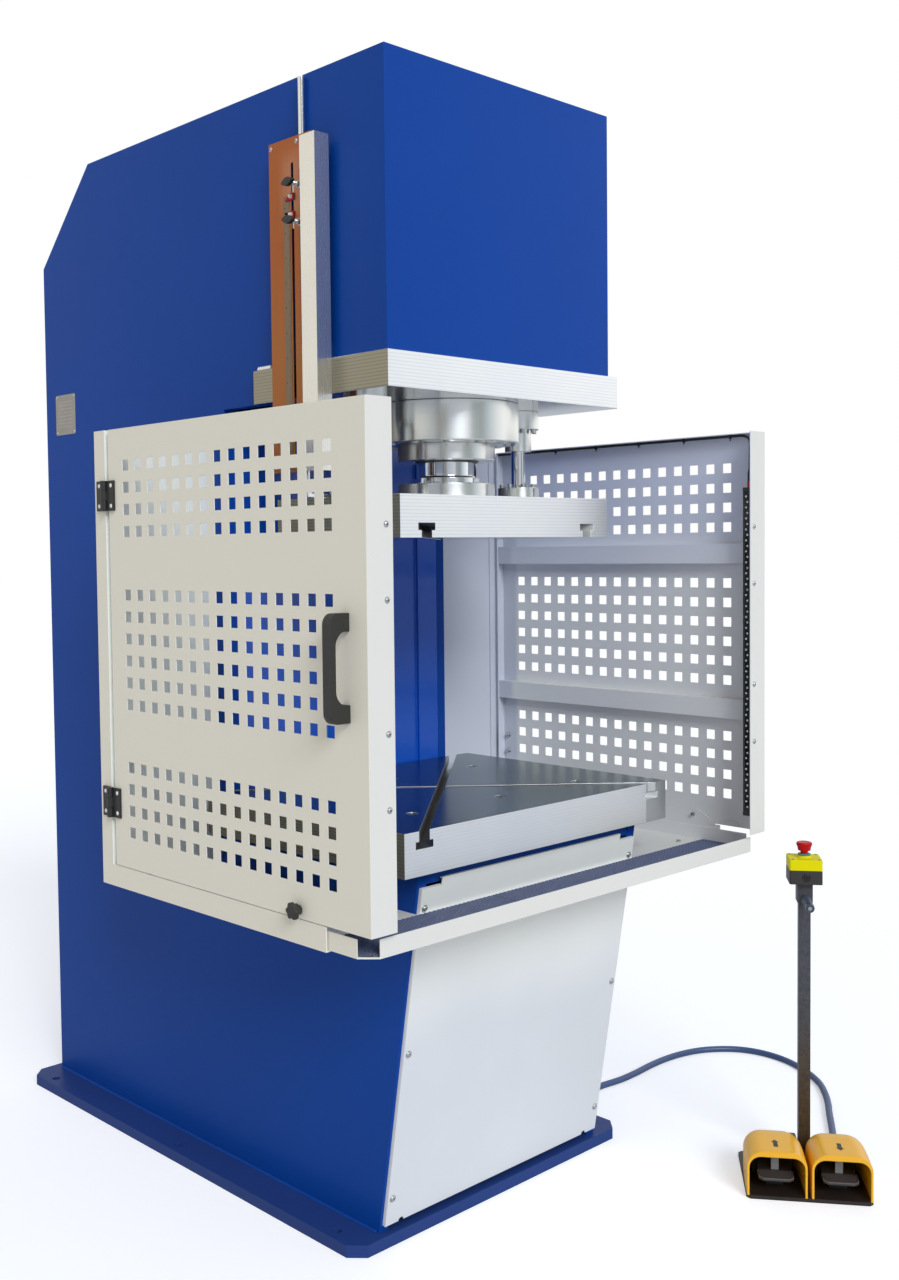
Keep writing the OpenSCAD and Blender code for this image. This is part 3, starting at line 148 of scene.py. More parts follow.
class Shape:
    """Solids, in millimetres, collected in one mesh."""

    def __init__(self, place=None):
        self.mesh = bmesh.new()
        self.place = place or Matrix.Identity(4)

    def add(self, solid, place=None):
        bmesh.ops.recalc_face_normals(solid, faces=solid.faces)
        solid.transform(self.place @ (place or Matrix.Identity(4)))
        held = bpy.data.meshes.new("held")
        solid.to_mesh(held)
        solid.free()
        self.mesh.from_mesh(held)
        bpy.data.meshes.remove(held)
        return self

    def prism(self, outline, low, high, place=None, bevel=0.0, steps=2, top=1.0):
        """An outline raised from low to high, its edges rounded. top scales the upper face."""
        solid = bmesh.new()
        a = [solid.verts.new((x, y, low)) for x, y in outline]
        b = [solid.verts.new((x * top, y * top, high)) for x, y in outline]
        solid.faces.new(a[::-1])
        solid.faces.new(b)
        for i in range(len(a)):
            j = (i + 1) % len(a)
            solid.faces.new((a[i], a[j], b[j], b[i]))
        if bevel > 0:
            solid.normal_update()
            edges = [e for e in solid.edges if e.calc_face_angle(0) > math.radians(28)]
            bmesh.ops.bevel(
                solid, geom=edges, offset=bevel, segments=steps, profile=0.5, affect="EDGES",
                clamp_overlap=True
            )
        return self.add(solid, place)

    def box(self, low, high, bevel=0.6, steps=2, place=None):
        outline = [(low[0], low[1]), (high[0], low[1]), (high[0], high[1]), (low[0], high[1])]
        return self.prism(outline, low[2], high[2], place, bevel, steps)

    def lathe(self, profile, place=None, sides=48, closed=False, lobes=0, depth=0.0):
        """A profile of (radius, height) points turned about Z. lobes waves the radius."""
        solid = bmesh.new()
        rings = []
        for r, z in profile:
            if r < 1e-5:
                rings.append([solid.verts.new((0, 0, z))])
                continue
            ring = []
            for k in range(sides):
                a = 2 * math.pi * k / sides
                w = r * (1 - depth * (0.5 - 0.5 * math.cos(lobes * a))) if lobes else r
                ring.append(solid.verts.new((w * math.cos(a), w * math.sin(a), z)))
            rings.append(ring)
        for a, b in list(zip(rings, rings[1:])) + ([(rings[-1], rings[0])] if closed else []):
            for k in range(sides):
                j = (k + 1) % sides
                if len(a) > 1 and len(b) > 1:
                    solid.faces.new((a[k], a[j], b[j], b[k]))
                elif len(b) > 1:
                    solid.faces.new((a[0], b[j], b[k]))
                elif len(a) > 1:
                    solid.faces.new((a[k], a[j], b[0]))
        return self.add(solid, place)

    def drum(self, r, low, high, place=None, bevel=1.0, sides=48, bore=0.0):
        """A short cylinder with rounded rims, with a hole through it where bore is given."""
        if bore:
            ring = soften([(bore, low), (r, low), (r, high), (bore, high)], bevel, closed=True)
            return self.lathe(ring, place, sides, closed=True)
        profile = soften([(0, low), (r, low), (r, high), (0, high)], bevel)
        return self.lathe(profile, place, sides)

    def tube(self, points, r, sides=10, waves=None):
        """A round bar along points. waves gives a factor for the radius at each point."""
        solid = bmesh.new()
        points = [Vector(p) for p in points]
        n = len(points)
        ahead = (points[1] - points[0]).normalized()
        side = ahead.orthogonal().normalized()
        rings = []
        for i, p in enumerate(points):
            next_ahead = (points[min(i + 1, n - 1)] - points[max(i - 1, 0)]).normalized()
            side = ahead.rotation_difference(next_ahead) @ side
            ahead = next_ahead
            over = ahead.cross(side)
            w = r * (waves[i] if waves else 1)
            angles = [2 * math.pi * k / sides for k in range(sides)]
            ring = [p + side * w * math.cos(a) + over * w * math.sin(a) for a in angles]
            rings.append([solid.verts.new(point) for point in ring])
        for a, b in zip(rings, rings[1:]):
            for k in range(sides):
                j = (k + 1) % sides
                solid.faces.new((a[k], a[j], b[j], b[k]))
        solid.faces.new(rings[0][::-1])
        solid.faces.new(rings[-1])
        return self.add(solid)

    def piece(self, name, body, material, slot=None, replaces=(), sharp=32, weighted=True):
        """Makes the object: metres, smooth faces, sharp edges kept."""
        bmesh.ops.scale(self.mesh, vec=(MM, MM, MM), verts=self.mesh.verts)
        return finish_piece(self.mesh, name, body, material, replaces, sharp, weighted)


def finish_piece(mesh, name, body, material, replaces, sharp=32, weighted=True):
    """Makes a mesh, in metres, an object that rides on a body."""
    mesh.normal_update()
    for face in mesh.faces:
        face.smooth = True
    for edge in mesh.edges:
        edge.smooth = edge.calc_face_angle(0) < math.radians(sharp)
    data = bpy.data.meshes.new(name)
    mesh.to_mesh(data)
    mesh.free()
    data.materials.append(MATERIALS[material])
    made = bpy.data.objects.new(name, data)
    bpy.context.scene.collection.objects.link(made)
    if weighted:
        made.modifiers.new("Flat faces", "WEIGHTED_NORMAL").keep_sharp = True
    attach(made, body)
    if replaces:
        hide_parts(*replaces)
    return made


def refine(node, material, bevel=1.0, steps=2, sharp=30, skip=None, fold=None):
    """Stands for a CAD node: the same mesh, its triangles merged into faces and its edges rounded.
    skip(a, b) names edges that stay sharp, and fold(a, b) gives an edge a radius of its own, in
    millimetres."""
    mesh = bmesh.new()
    mesh.from_mesh(frame["nodes"][node].data)
    bmesh.ops.remove_doubles(mesh, verts=mesh.verts, dist=2e-6)
    bmesh.ops.dissolve_limit(mesh, angle_limit=math.radians(0.4), verts=mesh.verts, edges=mesh.edges)
    bmesh.ops.dissolve_degenerate(mesh, dist=1e-6, edges=mesh.edges)
    mesh.normal_update()
    groups = {}
    for edge in mesh.edges:
        if len(edge.link_faces) == 2 and edge.calc_face_angle(0) > math.radians(sharp):
            a, b = (v.co / MM for v in edge.verts)
            if skip and skip(a, b):
                continue
            width = fold(a, b) if fold else None
            groups.setdefault(width or bevel, []).append(edge)
    for width in sorted(groups, reverse=True):
        edges = [e for e in groups[width] if e.is_valid]
        if width > 0 and edges:
            bmesh.ops.bevel(
                mesh, geom=edges, offset=width * MM, segments=steps if width < 3 else 4, profile=0.5,
                affect="EDGES", clamp_overlap=True,
            )
    return finish_piece(mesh, node + "_fine", own_body(node), material, [node])


# ---------------------------------------------------------------- materials


class Finish:
    """A procedural material in object coordinates, which are the row frame's metres."""

    def __init__(self, name, colour, rough=0.4, metal=0.0, specular=0.5):
        self.material = bpy.data.materials.new(name)
        self.material.use_nodes = True
        self.tree = self.material.node_tree
        self.shader = self.tree.nodes["Principled BSDF"]
        self.where = self.node("ShaderNodeTexCoord").outputs["Object"]
        self.shader.inputs["Base Color"].default_value = (*colour, 1)
        self.shader.inputs["Roughness"].default_value = rough
        self.shader.inputs["Metallic"].default_value = metal
        self.shader.inputs["Specular IOR Level"].default_value = specular
        MATERIALS[name] = self.material

    def node(self, kind, **inputs):
        made = self.tree.nodes.new(kind)
        for key, value in inputs.items():
            self.set(made, key.replace("_", " "), value)
        return made

    def set(self, node, key, value):
        socket = node.inputs[int(key)] if key.isdigit() else node.inputs[key]
        if isinstance(value, bpy.types.NodeSocket):
            self.tree.links.new(value, socket)
        else:
            socket.default_value = value

    def noise(self, scale, detail=3, stretch=None, rough=0.5):
        vector = self.where
        if stretch:
            vector = self.node("ShaderNodeMapping", Vector=vector, Scale=stretch).outputs[0]
        made = self.node("ShaderNodeTexNoise", Vector=vector, Scale=scale, Detail=detail, Roughness=rough)
        return made.outputs[0]

    def bands(self, direction, pitch):
        """Stripes of one pitch, in metres, along an axis."""
        scale = math.pi / (10 * pitch)
        made = self.node("ShaderNodeTexWave", Vector=self.where, Scale=scale, Distortion=0.0, Detail=2)
        made.bands_direction = direction
        return made.outputs["Fac"]

    def ramp(self, value, *stops):
        made = self.node("ShaderNodeValToRGB", Fac=value)
        held = made.color_ramp.elements
        while len(held) < len(stops):
            held.new(0.5)
        for element, (place, tone) in zip(held, sorted(stops, key=lambda s: s[0])):
            element.position = place
            element.color = (*tone, 1) if isinstance(tone, tuple) else (tone, tone, tone, 1)
        return made.outputs[0]

    def mix(self, factor, a, b, kind="MIX"):
        made = self.node("ShaderNodeMix")
        made.data_type = "RGBA"
        made.blend_type = kind
        self.set(made, "0", factor)
        for index, value in ((6, a), (7, b)):
            if isinstance(value, tuple):
                value = (*value, 1)
            self.set(made, str(index), value)
        return made.outputs[2]

    def math(self, operation, a, b=0.0, clamp=False):
        made = self.node("ShaderNodeMath", **{"0": a, "1": b})
        made.operation = operation
        made.use_clamp = clamp
        return made.outputs[0]

    def axis(self, name, source="Object"):
        place = self.node("ShaderNodeTexCoord").outputs[source]
        return self.node("ShaderNodeSeparateXYZ", Vector=place).outputs[name]

    def step(self, value, low, high):
        made = self.node("ShaderNodeMapRange", Value=value)
        made.interpolation_type = "SMOOTHSTEP"
        made.inputs["From Min"].default_value = low
        made.inputs["From Max"].default_value = high
        return made.outputs[0]

    def paint(self, socket):
        self.tree.links.new(socket, self.shader.inputs["Base Color"])
        return self

    def roughen(self, socket, low, high):
        made = self.node("ShaderNodeMapRange", Value=socket)
        made.inputs["To Min"].default_value = low
        made.inputs["To Max"].default_value = high
        self.tree.links.new(made.outputs[0], self.shader.inputs["Roughness"])
        return self

    def bump(self, height, strength=0.2, distance=0.0005):
        made = self.node("ShaderNodeBump", Height=height, Strength=strength, Distance=distance)
        before = self.shader.inputs["Normal"].links
        if before:
            self.tree.links.new(before[0].from_socket, made.inputs["Normal"])
        self.tree.links.new(made.outputs[0], self.shader.inputs["Normal"])
        return self

    def put(self, key, value):
        self.shader.inputs[key].default_value = value
        return self


MATERIALS = {}


def darker(colour, factor):
    """A colour times a factor, which also makes it lighter, up to 1."""
    return tuple(min(1.0, c * factor) for c in colour)


def painted(name, colour, rough, peel=0.12, drift=0.05, specular=0.5, grain=900):
    """Sprayed paint: a fine peel, slow drifts of tone, and a satin gloss."""
    f = Finish(name, colour, rough, specular=specular)
    slow = f.noise(2.3, 2)
    fine = f.noise(grain, 2)
    base = f.mix(f.ramp(slow, (0.3, 0.0), (0.7, 1.0)), darker(colour, 1 - drift), darker(colour, 1 + drift))
    f.paint(f.mix(f.ramp(fine, (0.3, 0.0), (0.75, 1.0)), base, f.mix(0.06, base, darker(colour, 0.6))))
    f.roughen(f.noise(35, 3), rough * 0.85, rough * 1.2)
    f.bump(fine, peel, 0.0004)
    return f


def brushed(name, colour, rough, stretch, contrast=0.15, bump=0.05, grain=1.0):
    """Metal with a grain of fine lines."""
    f = Finish(name, colour, rough, metal=1.0)
    lines = f.noise(1.0, 4, stretch, 0.65)
    cloud = f.noise(9, 3)
    dull, bright = darker(colour, 1 - contrast), darker(colour, 1 + contrast * 0.6)
    base = f.mix(f.ramp(lines, (0.25, 0.0), (0.75, 1.0)), dull, bright)
    f.paint(f.mix(f.ramp(cloud, (0.35, 0.0), (0.7, 1.0)), base, f.mix(0.12, base, darker(colour, 0.7))))
    f.roughen(lines, rough * 0.8, rough * 1.25)
    f.bump(lines, bump, 0.0003)
    return f


def moulded(name, colour, rough, grain=600, bump=0.15, specular=0.5, drift=0.06):
    """Moulded plastic: a fine leathery grain and slightly uneven gloss."""
    f = Finish(name, colour, rough, specular=specular)
    fine = f.noise(grain, 2)
    base = f.mix(f.noise(14, 3), darker(colour, 1 - drift), darker(colour, 1 + drift))
    f.paint(base)
    f.roughen(f.noise(60, 2), rough * 0.85, rough * 1.25)
    f.bump(fine, bump, 0.0003)
    return f


BLUE = (0.0025, 0.055, 0.32)
GUARD = (0.79, 0.775, 0.725)
# Painted light and shade on the guard paint: warm light outside, (low, high) on the inner faces, (left,
# right) on the rear returns
GUARD_OUTSIDE_PAINTED_WARM_LIGHT = (0.83, 0.79, 0.67)
GUARD_INSIDE_PAINTED_LIGHT_AND_SHADE = ((0.86, 0.87, 0.87), (0.72, 0.77, 0.93))
GUARD_REAR_PAINTED_LIGHT_AND_SHADE = ((0.90, 0.92, 0.85), (0.64, 0.67, 0.75))


def make_materials():
    painted("blue_paint", BLUE, 0.35, peel=0.04, drift=0.03, specular=0.12)
    painted("base_blue", (0.02, 0.052, 0.21), 0.4, peel=0.05, drift=0.05, specular=0.15)
    # The throat: a brighter, glossier copy of the frame's blue, painted light
    painted("throat_blue_painted_light", (0.003, 0.085, 0.52), 0.15, peel=0.03, drift=0.03, specular=0.6)

    # Guards: one paint. The outer faces carry painted warm light. The faces turned to the press carry painted
    # cool shade, lighter low down. On the rear returns, the left carries painted light and the right painted
    # cool shade
    f = painted("guard_paint", GUARD, 0.45, peel=0.06, drift=0.012, specular=0.3, grain=700)
    tone = f.shader.inputs["Base Color"].links[0].from_socket
    facing = f.math("MULTIPLY", f.axis("X"), f.axis("X", "Normal"))
    outward_face, inward_face = f.step(facing, 0.3, 0.5), f.step(facing, -0.3, -0.5)
    tone = f.mix(outward_face, tone, GUARD_OUTSIDE_PAINTED_WARM_LIGHT)
    tone = f.mix(inward_face, tone, f.mix(f.step(f.axis("Z"), 1.2, 1.5), *GUARD_INSIDE_PAINTED_LIGHT_AND_SHADE))
    rear = f.math("MULTIPLY", f.step(f.axis("Y"), -0.17, -0.15), f.step(facing, 0.5, 0.3))
    f.paint(f.mix(rear, tone, f.mix(f.step(f.axis("X"), -0.05, 0.05), *GUARD_REAR_PAINTED_LIGHT_AND_SHADE)))

    # The front cover: painted light makes its top pale green-white against the tray's shadow, and painted
    # cool shade darkens it towards the floor
    f = Finish("pale_paint", (0.78, 0.80, 0.81), 0.4, specular=0.3)
    height = f.math("ADD", f.axis("Z"), f.math("MULTIPLY", f.noise(2.2, 2), 0.25))
    tone = f.mix(f.step(height, 0.5, 0.8), (0.72, 0.74, 0.77), (0.93, 0.94, 0.88))
    f.paint(f.mix(f.ramp(f.noise(5, 3), (0.4, 0.0), (0.7, 0.3)), tone, (0.79, 0.81, 0.84)))
    f.bump(f.noise(650, 2), 0.06, 0.0003)

    # Milled plates: the cutter's parallel passes across the fronts, dark olive ends that are a painted
    # reflection, a polished underside
    f = Finish("milled_plate", (0.86, 0.88, 0.88), 0.34, metal=1.0)
    passes = f.bands("Z", 0.0067)
    grain = f.noise(1.0, 4, (25, 25, 900), 0.6)
    cloud = f.noise(5.0, 3)
    quiet = f.step(f.axis("Z"), 1.2, 1.1)
    tone = f.mix(f.ramp(passes, (0.02, 0.0), (0.16, 1.0)), (0.76, 0.785, 0.79), (0.93, 0.94, 0.935))
    pale = f.mix(f.noise(14, 4), (0.90, 0.92, 0.95), (0.96, 0.97, 0.98))
    tone = f.mix(f.math("MULTIPLY", quiet, 0.6), tone, pale)
    tone = f.mix(f.ramp(grain, (0.4, 0.0), (0.75, 0.3)), tone, (0.78, 0.80, 0.83))
    tone = f.mix(f.ramp(cloud, (0.45, 0.0), (0.72, 0.3)), tone, (0.78, 0.81, 0.90))
    # Painted reflection: a darker zone at the right end of the plates low down
    corner = f.math("MULTIPLY", quiet, f.step(f.axis("X"), 0.331, 0.334))
    tone = f.mix(f.math("MULTIPLY", corner, 0.6), tone, (0.40, 0.42, 0.41))
    # The ends: a painted dark olive reflection
    end = f.step(f.math("ABSOLUTE", f.axis("X", "Normal")), 0.6, 0.85)
    end_reflection_tone = f.mix(f.ramp(passes, (0.02, 0.0), (0.16, 1.0)), (0.235, 0.215, 0.165), (0.33, 0.305, 0.235))
    tone = f.mix(end, tone, end_reflection_tone)
    under = f.step(f.axis("Z", "Normal"), -0.7, -0.9)
    f.paint(f.mix(under, tone, (0.66, 0.69, 0.70)))
    f.roughen(under, 0.36, 0.13)
    f.bump(grain, 0.04, 0.0002)

    # The table's ground top, its dark teal tone a painted reflection, with fine arcs and scratches
    f = Finish("ground_top", (0.09, 0.145, 0.17), 0.3, metal=1.0)
    grain = f.noise(1.0, 5, (18, 420, 1), 0.65)
    cloud = f.noise(3.5, 4)
    tone = f.mix(f.ramp(cloud, (0.3, 0.0), (0.75, 1.0)), (0.06, 0.115, 0.145), (0.115, 0.18, 0.21))
    f.paint(f.mix(f.ramp(grain, (0.35, 0.0), (0.72, 0.4)), tone, (0.18, 0.235, 0.26)))
    f.roughen(cloud, 0.16, 0.32)
    f.bump(grain, 0.05, 0.0002)

    # Painted shade in the plates' slots and bores, paler towards the right end of the plates
    f = brushed("slot_shade", (0.23, 0.225, 0.21), 0.5, (40, 40, 400), 0.25, 0.05)
    tone = f.shader.inputs["Base Color"].links[0].from_socket
    f.paint(f.mix(f.step(f.axis("X"), 0.22, 0.32), tone, (0.60, 0.61, 0.60)))

    f = Finish("turned_steel", (0.8, 0.81, 0.79), 0.22, metal=1.0)
    lines = f.noise(1.0, 3, (3, 3, 900), 0.6)
    tone = f.mix(f.ramp(lines, (0.3, 0.0), (0.7, 1.0)), (0.76, 0.77, 0.745), (0.82, 0.83, 0.80))
    # Painted dark reflection: faces turned back and to the left are darker and less metallic
    behind, left = f.step(f.axis("Y", "Normal"), -0.2, 0.1), f.step(f.axis("X", "Normal"), -0.3, -0.6)
    rear = f.math("MULTIPLY", behind, left)
    f.paint(f.mix(rear, tone, (0.20, 0.19, 0.185)))
    f.set(f.shader, "Metallic", f.math("SUBTRACT", 1.0, f.math("MULTIPLY", rear, 0.75)))
    f.roughen(f.noise(7, 2), 0.2, 0.28)
    f.put("Anisotropic", 0.65).put("Anisotropic Rotation", 0.25)
    tangent = f.node("ShaderNodeTangent")
    tangent.direction_type, tangent.axis = "RADIAL", "Z"
    f.tree.links.new(tangent.outputs[0], f.shader.inputs["Tangent"])
    brushed("chrome", (0.80, 0.81, 0.82), 0.1, (4, 4, 900), 0.05, 0.01)
    brushed("zinc", (0.62, 0.64, 0.66), 0.33, (160, 160, 160), 0.2, 0.03)
    brushed("steel_screw", (0.55, 0.56, 0.57), 0.28, (300, 300, 300), 0.2, 0.02)
    brushed("bright_weld", (0.86, 0.87, 0.88), 0.35, (200, 200, 200), 0.1, 0.05)
    brushed("dark_steel", (0.12, 0.125, 0.13), 0.4, (120, 120, 120), 0.25, 0.05)
    brushed("cast_grey", (0.2, 0.22, 0.24), 0.5, (60, 60, 60), 0.25, 0.1)
    brushed("channel_metal", (0.84, 0.81, 0.755), 0.26, (500, 500, 5), 0.03, 0.02).put("Metallic", 0.9)

    # The gauge plate: bronze tone, drawn vertically, with a painted highlight that makes it paler towards its
    # upper middle
    f = Finish("gauge_metal", (0.42, 0.15, 0.05), 0.36, metal=0.55, specular=0.3)
    grain = f.noise(1.0, 4, (300, 900, 4), 0.6)
    height = f.axis("Z")
    pale = f.math("MULTIPLY", f.step(height, 2.0, 2.09), f.step(height, 2.2, 2.14))
    pale = f.math("MULTIPLY", pale, f.step(f.axis("Y"), -0.372, -0.42))
    tone = f.mix(f.step(height, 1.75, 2.0), (0.42, 0.15, 0.04), (0.43, 0.12, 0.028))
    tone = f.mix(f.math("MULTIPLY", pale, 0.45), tone, (0.60, 0.33, 0.22))
    f.paint(f.mix(f.ramp(grain, (0.3, 0.0), (0.8, 0.4)), tone, (0.24, 0.07, 0.02)))
    f.bump(f.noise(500, 3), 0.12, 0.0003)

    moulded("black_plastic", (0.018, 0.018, 0.017), 0.42, 900, 0.25)
    moulded("handle_plastic", (0.025, 0.025, 0.021), 0.5, 1100, 0.4)
    moulded("hood_plastic", (0.93, 0.475, 0.022), 0.3, 260, 0.03, 0.5, 0.02)
    moulded("lemon_plastic", (0.80, 0.72, 0.001), 0.45, 900, 0.1, 0.1)
    moulded("red_plastic", (0.50, 0.004, 0.008), 0.3, 700, 0.04, 0.18)
    moulded("red_enamel", (0.60, 0.03, 0.02), 0.35, 700, 0.05)
    moulded("white_mark", (0.8, 0.8, 0.78), 0.5, 700, 0.05)
    moulded("arrow_mark", (0.02, 0.022, 0.02), 0.5, 700, 0.05)
    moulded("window_black", (0.006, 0.006, 0.008), 0.12, 700, 0.01)
    moulded("box_black", (0.03, 0.027, 0.026), 0.45, 900, 0.3)
    moulded("base_black", (0.02, 0.014, 0.012), 0.45, 900, 0.3)
    moulded("tread_grey", (0.05, 0.045, 0.045), 0.4, 600, 0.2, 0.5, 0.2)
    moulded("tread_edge", (0.13, 0.115, 0.11), 0.35, 600, 0.1)
    moulded("lever_grey", (0.30, 0.31, 0.32), 0.4, 600, 0.1)
    moulded("ring_teal_painted_shade", (0.06, 0.22, 0.22), 0.4, 600, 0.1)
    brushed("scale_metal", (0.24, 0.175, 0.12), 0.4, (300, 300, 8), 0.2, 0.05)
    moulded("cable_rubber", (0.045, 0.085, 0.20), 0.3, 500, 0.1, 0.5, 0.15)
    moulded("grip_rubber", (0.05, 0.065, 0.10), 0.28, 800, 0.1)
    moulded("mat_rubber", (0.006, 0.010, 0.03), 0.6, 500, 0.3)
    moulded("mat_ribs", (0.055, 0.08, 0.18), 0.45, 500, 0.2)

    f = Finish("post_paint", (0.045, 0.036, 0.03), 0.42, specular=0.45)
    blot = f.noise(120, 5, None, 0.7)
    low = f.mix(f.ramp(blot, (0.35, 0.0), (0.7, 1.0)), (0.028, 0.020, 0.012), (0.075, 0.042, 0.018))
    high = f.mix(f.ramp(blot, (0.35, 0.0), (0.7, 1.0)), (0.034, 0.038, 0.048), (0.075, 0.078, 0.088))
    tone = f.mix(f.step(f.axis("Z"), 0.15, 0.42), low, high)
    f.paint(f.mix(f.ramp(f.noise(600, 3), (0.5, 0.0), (0.75, 0.4)), tone, (0.13, 0.12, 0.12)))
    f.bump(blot, 0.15, 0.0004)

    f = Finish("plate_taupe", (0.36, 0.34, 0.31), 0.4, metal=0.6)
    f.paint(f.mix(f.noise(60, 3), (0.30, 0.28, 0.26), (0.40, 0.38, 0.35)))
    f.bump(f.noise(1.0, 4, (1, 900, 30), 0.6), 0.08, 0.0002)


make_materials()

# ---------------------------------------------------------------- foot cable

# Metres. The seen stretch follows points that were picked on the cable in the photograph and laid on
# the floor through the fitted camera.
CABLE = [
    (0.362, -0.440, 0.090), (0.400, -0.440, 0.086), (0.436, -0.440, 0.066), (0.470, -0.439, 0.038),
    (0.508, -0.438, 0.016), (0.550, -0.438, 0.0085), (0.600, -0.441, 0.0085), (0.667, -0.450, 0.0085),
    (0.735, -0.450, 0.0085), (0.800, -0.446, 0.0085), (0.865, -0.447, 0.0085), (0.925, -0.456, 0.0085),
    (0.985, -0.477, 0.0085), (1.035, -0.513, 0.0085), (1.068, -0.555, 0.0085), (1.084, -0.605, 0.0085),
    (1.084, -0.660, 0.0085), (1.070, -0.712, 0.0085), (1.042, -0.768, 0.0085), (1.003, -0.820, 0.0085),
    (0.955, -0.862, 0.0085), (0.905, -0.898, 0.0085), (0.852, -0.931, 0.0085), (0.798, -0.966, 0.0085),
    (0.749, -0.997, 0.0085), (0.708, -1.022, 0.0095), (0.672, -1.040, 0.013), (0.643, -1.052, 0.019),
    (0.622, -1.068, 0.022),
]
CABLE_R = 0.0085


def smooth_route(points, step):
    """Points along the smooth curve through a route, a fixed step apart."""
    points = [Vector(p) for p in points]
    dense = []
    for i in range(len(points) - 1):
        a, b = points[max(i - 1, 0)], points[i]
        c, d = points[i + 1], points[min(i + 2, len(points) - 1)]
        for k in range(24):
            t = k / 24
            dense.append(
                0.5 * (2 * b + (c - a) * t + (2 * a - 5 * b + 4 * c - d) * t * t
                       + (3 * b - a - 3 * c + d) * t ** 3)
            )
    dense.append(points[-1])
    total = sum((q - p).length for p, q in zip(dense, dense[1:]))
    count = round(total / step)
    made, run, goal = [dense[0]], 0.0, total / count
    for p, q in zip(dense, dense[1:]):
        gap = (q - p).length
        while gap > 0 and run + gap >= goal * len(made) - 1e-9 and len(made) < count:
            made.append(p + (q - p) * ((goal * len(made) - run) / gap))
        run += gap
    made.append(dense[-1])
    return made, total


def make_foot_cable():
    """The cable from the frame to the pedals, slightly ribbed so that it stays within the CAD's."""
    route, total = smooth_route(CABLE, 0.0016)
    route = [Vector((p.x, p.y, max(p.z, CABLE_R))) for p in route]
    waves = [0.95 - 0.06 * (i % 3 == 2) for i in range(len(route))]
    cable = Shape()
    cable.tube([p / MM for p in route], CABLE_R / MM, 14, waves)
    made = cable.piece("foot_cable_fine", "frame", "cable_rubber", "cable_rubber", ["foot_cable"], 60, False)


make_foot_cable()

# ---------------------------------------------------------------- frame


def same(u, v, slack=0.2):
    """Whether two places are one, in millimetres."""
    return abs(u - v) < slack


def make_frame():
    """Welded plates. Flush seams stay sharp, so that they close without a groove."""
    seam_y = corners("head_front_plate")[1].y
    for node in ("frame_side_left", "frame_side_right"):
        side_low, side_high = corners(node)
        outer = side_low.x if node.endswith("left") else side_high.x
        refine(
            node, "blue_paint", 1.6,
            skip=lambda a, b, o=outer: not (same(a.x, o) and same(b.x, o))
            or (same(a.y, seam_y) and same(b.y, seam_y)),
        )
    refine(
        "head_front_plate", "blue_paint", 1.6, 3,
        skip=lambda a, b: same(a.y, seam_y) and same(b.y, seam_y),
    )
    inner = corners("frame_back_plate")
    refine(
        "frame_back_plate", "blue_paint", 1.0,
        skip=lambda a, b: (same(a.y, seam_y) and same(b.y, seam_y))
        or (same(abs(a.x), inner[1].x) and same(abs(b.x), inner[1].x)),
    )
    refine("base_plate", "base_blue", 2.2, 3)
    refine("bed_plate", "blue_paint", 1.0)
    refine("throat_plate", "throat_blue_painted_light", 1.5, 3)


def bead(shape, a, b, r, pitch=5.5):
    """A weld bead from a to b, in small overlapping ripples that run out at both ends."""
    a, b = Vector(a), Vector(b)
    count = max(4, int((b - a).length / (pitch / 3)))
    points = [a.lerp(b, i / count) for i in range(count + 1)]
    waves = [0.78 + 0.22 * abs(math.sin(math.pi * i / 3 + 0.4)) for i in range(count + 1)]
    waves[0] *= 0.35
    waves[-1] *= 0.35
    shape.tube(points, r, 8, waves)


def make_welds():
    base = corners("base_plate")[1]
    left, right = corners("frame_side_left"), corners("frame_side_right")
    head = corners("head_plate")
    foot, back = -620, left[1].y
    blue = Shape()
    for x, s in ((left[0].x, -1), (right[1].x, 1)):
        bead(blue, (x + s * 1.5, foot + 6, base.z + 1.2), (x + s * 1.5, back - 6, base.z + 1.2), 4.2)
    bead(blue, (left[0].x + 8, back + 1.2, base.z + 1.2), (right[1].x - 8, back + 1.2, base.z + 1.2), 4.2)
    blue.piece("base_welds", "frame", "blue_paint", "blue_paint")
    bright = Shape()
    rear = head[1].y
    for x, s in ((left[0].x, -1), (right[1].x, 1)):
        bead(bright, (x + s * 3, rear - 10, head[1].z + 1.5), (x + s * 3, rear - 58, head[1].z + 1.5), 8, 7)
    bright.piece("head_welds", "frame", "bright_weld", "machined_steel")


def make_name_plate():
    """A blank riveted plate on the left side, with ruled lines."""
    side = corners("frame_side_left")[0].x
    z0, z1, y0, y1 = 1680, 1781, 472, 567
    rivet_inset, rule_inset, rule_pitch = 6, 14, 9
    plate, trim = Shape(), Shape()
    outline = soften([(y0, z0), (y1, z0), (y1, z1), (y0, z1)], 6, 4, True)
    plate.prism(outline, side - 1.2, side + 0.1, at(axis="x"), 0.35, 1)
    plate.piece("name_plate", "frame", "plate_taupe", "machined_steel")
    rivet = soften([(0, 2.1), (1.6, 1.9), (2.8, 0.6), (3.0, 0)], 0.5)
    for y in (y0 + rivet_inset, y1 - rivet_inset):
        for z in (z0 + rivet_inset, z1 - rivet_inset):
            trim.lathe(rivet, at(side - 1.0, y, z, "-x"), 16)
    for i in range(8):
        z = z1 - 18 - rule_pitch * i
        trim.box((side - 1.34, y0 + rule_inset, z - 0.4), (side - 1.1, y1 - rule_inset, z + 0.4), 0.1, 1)
    trim.piece("name_plate_trim", "frame", "steel_screw", "machined_steel")


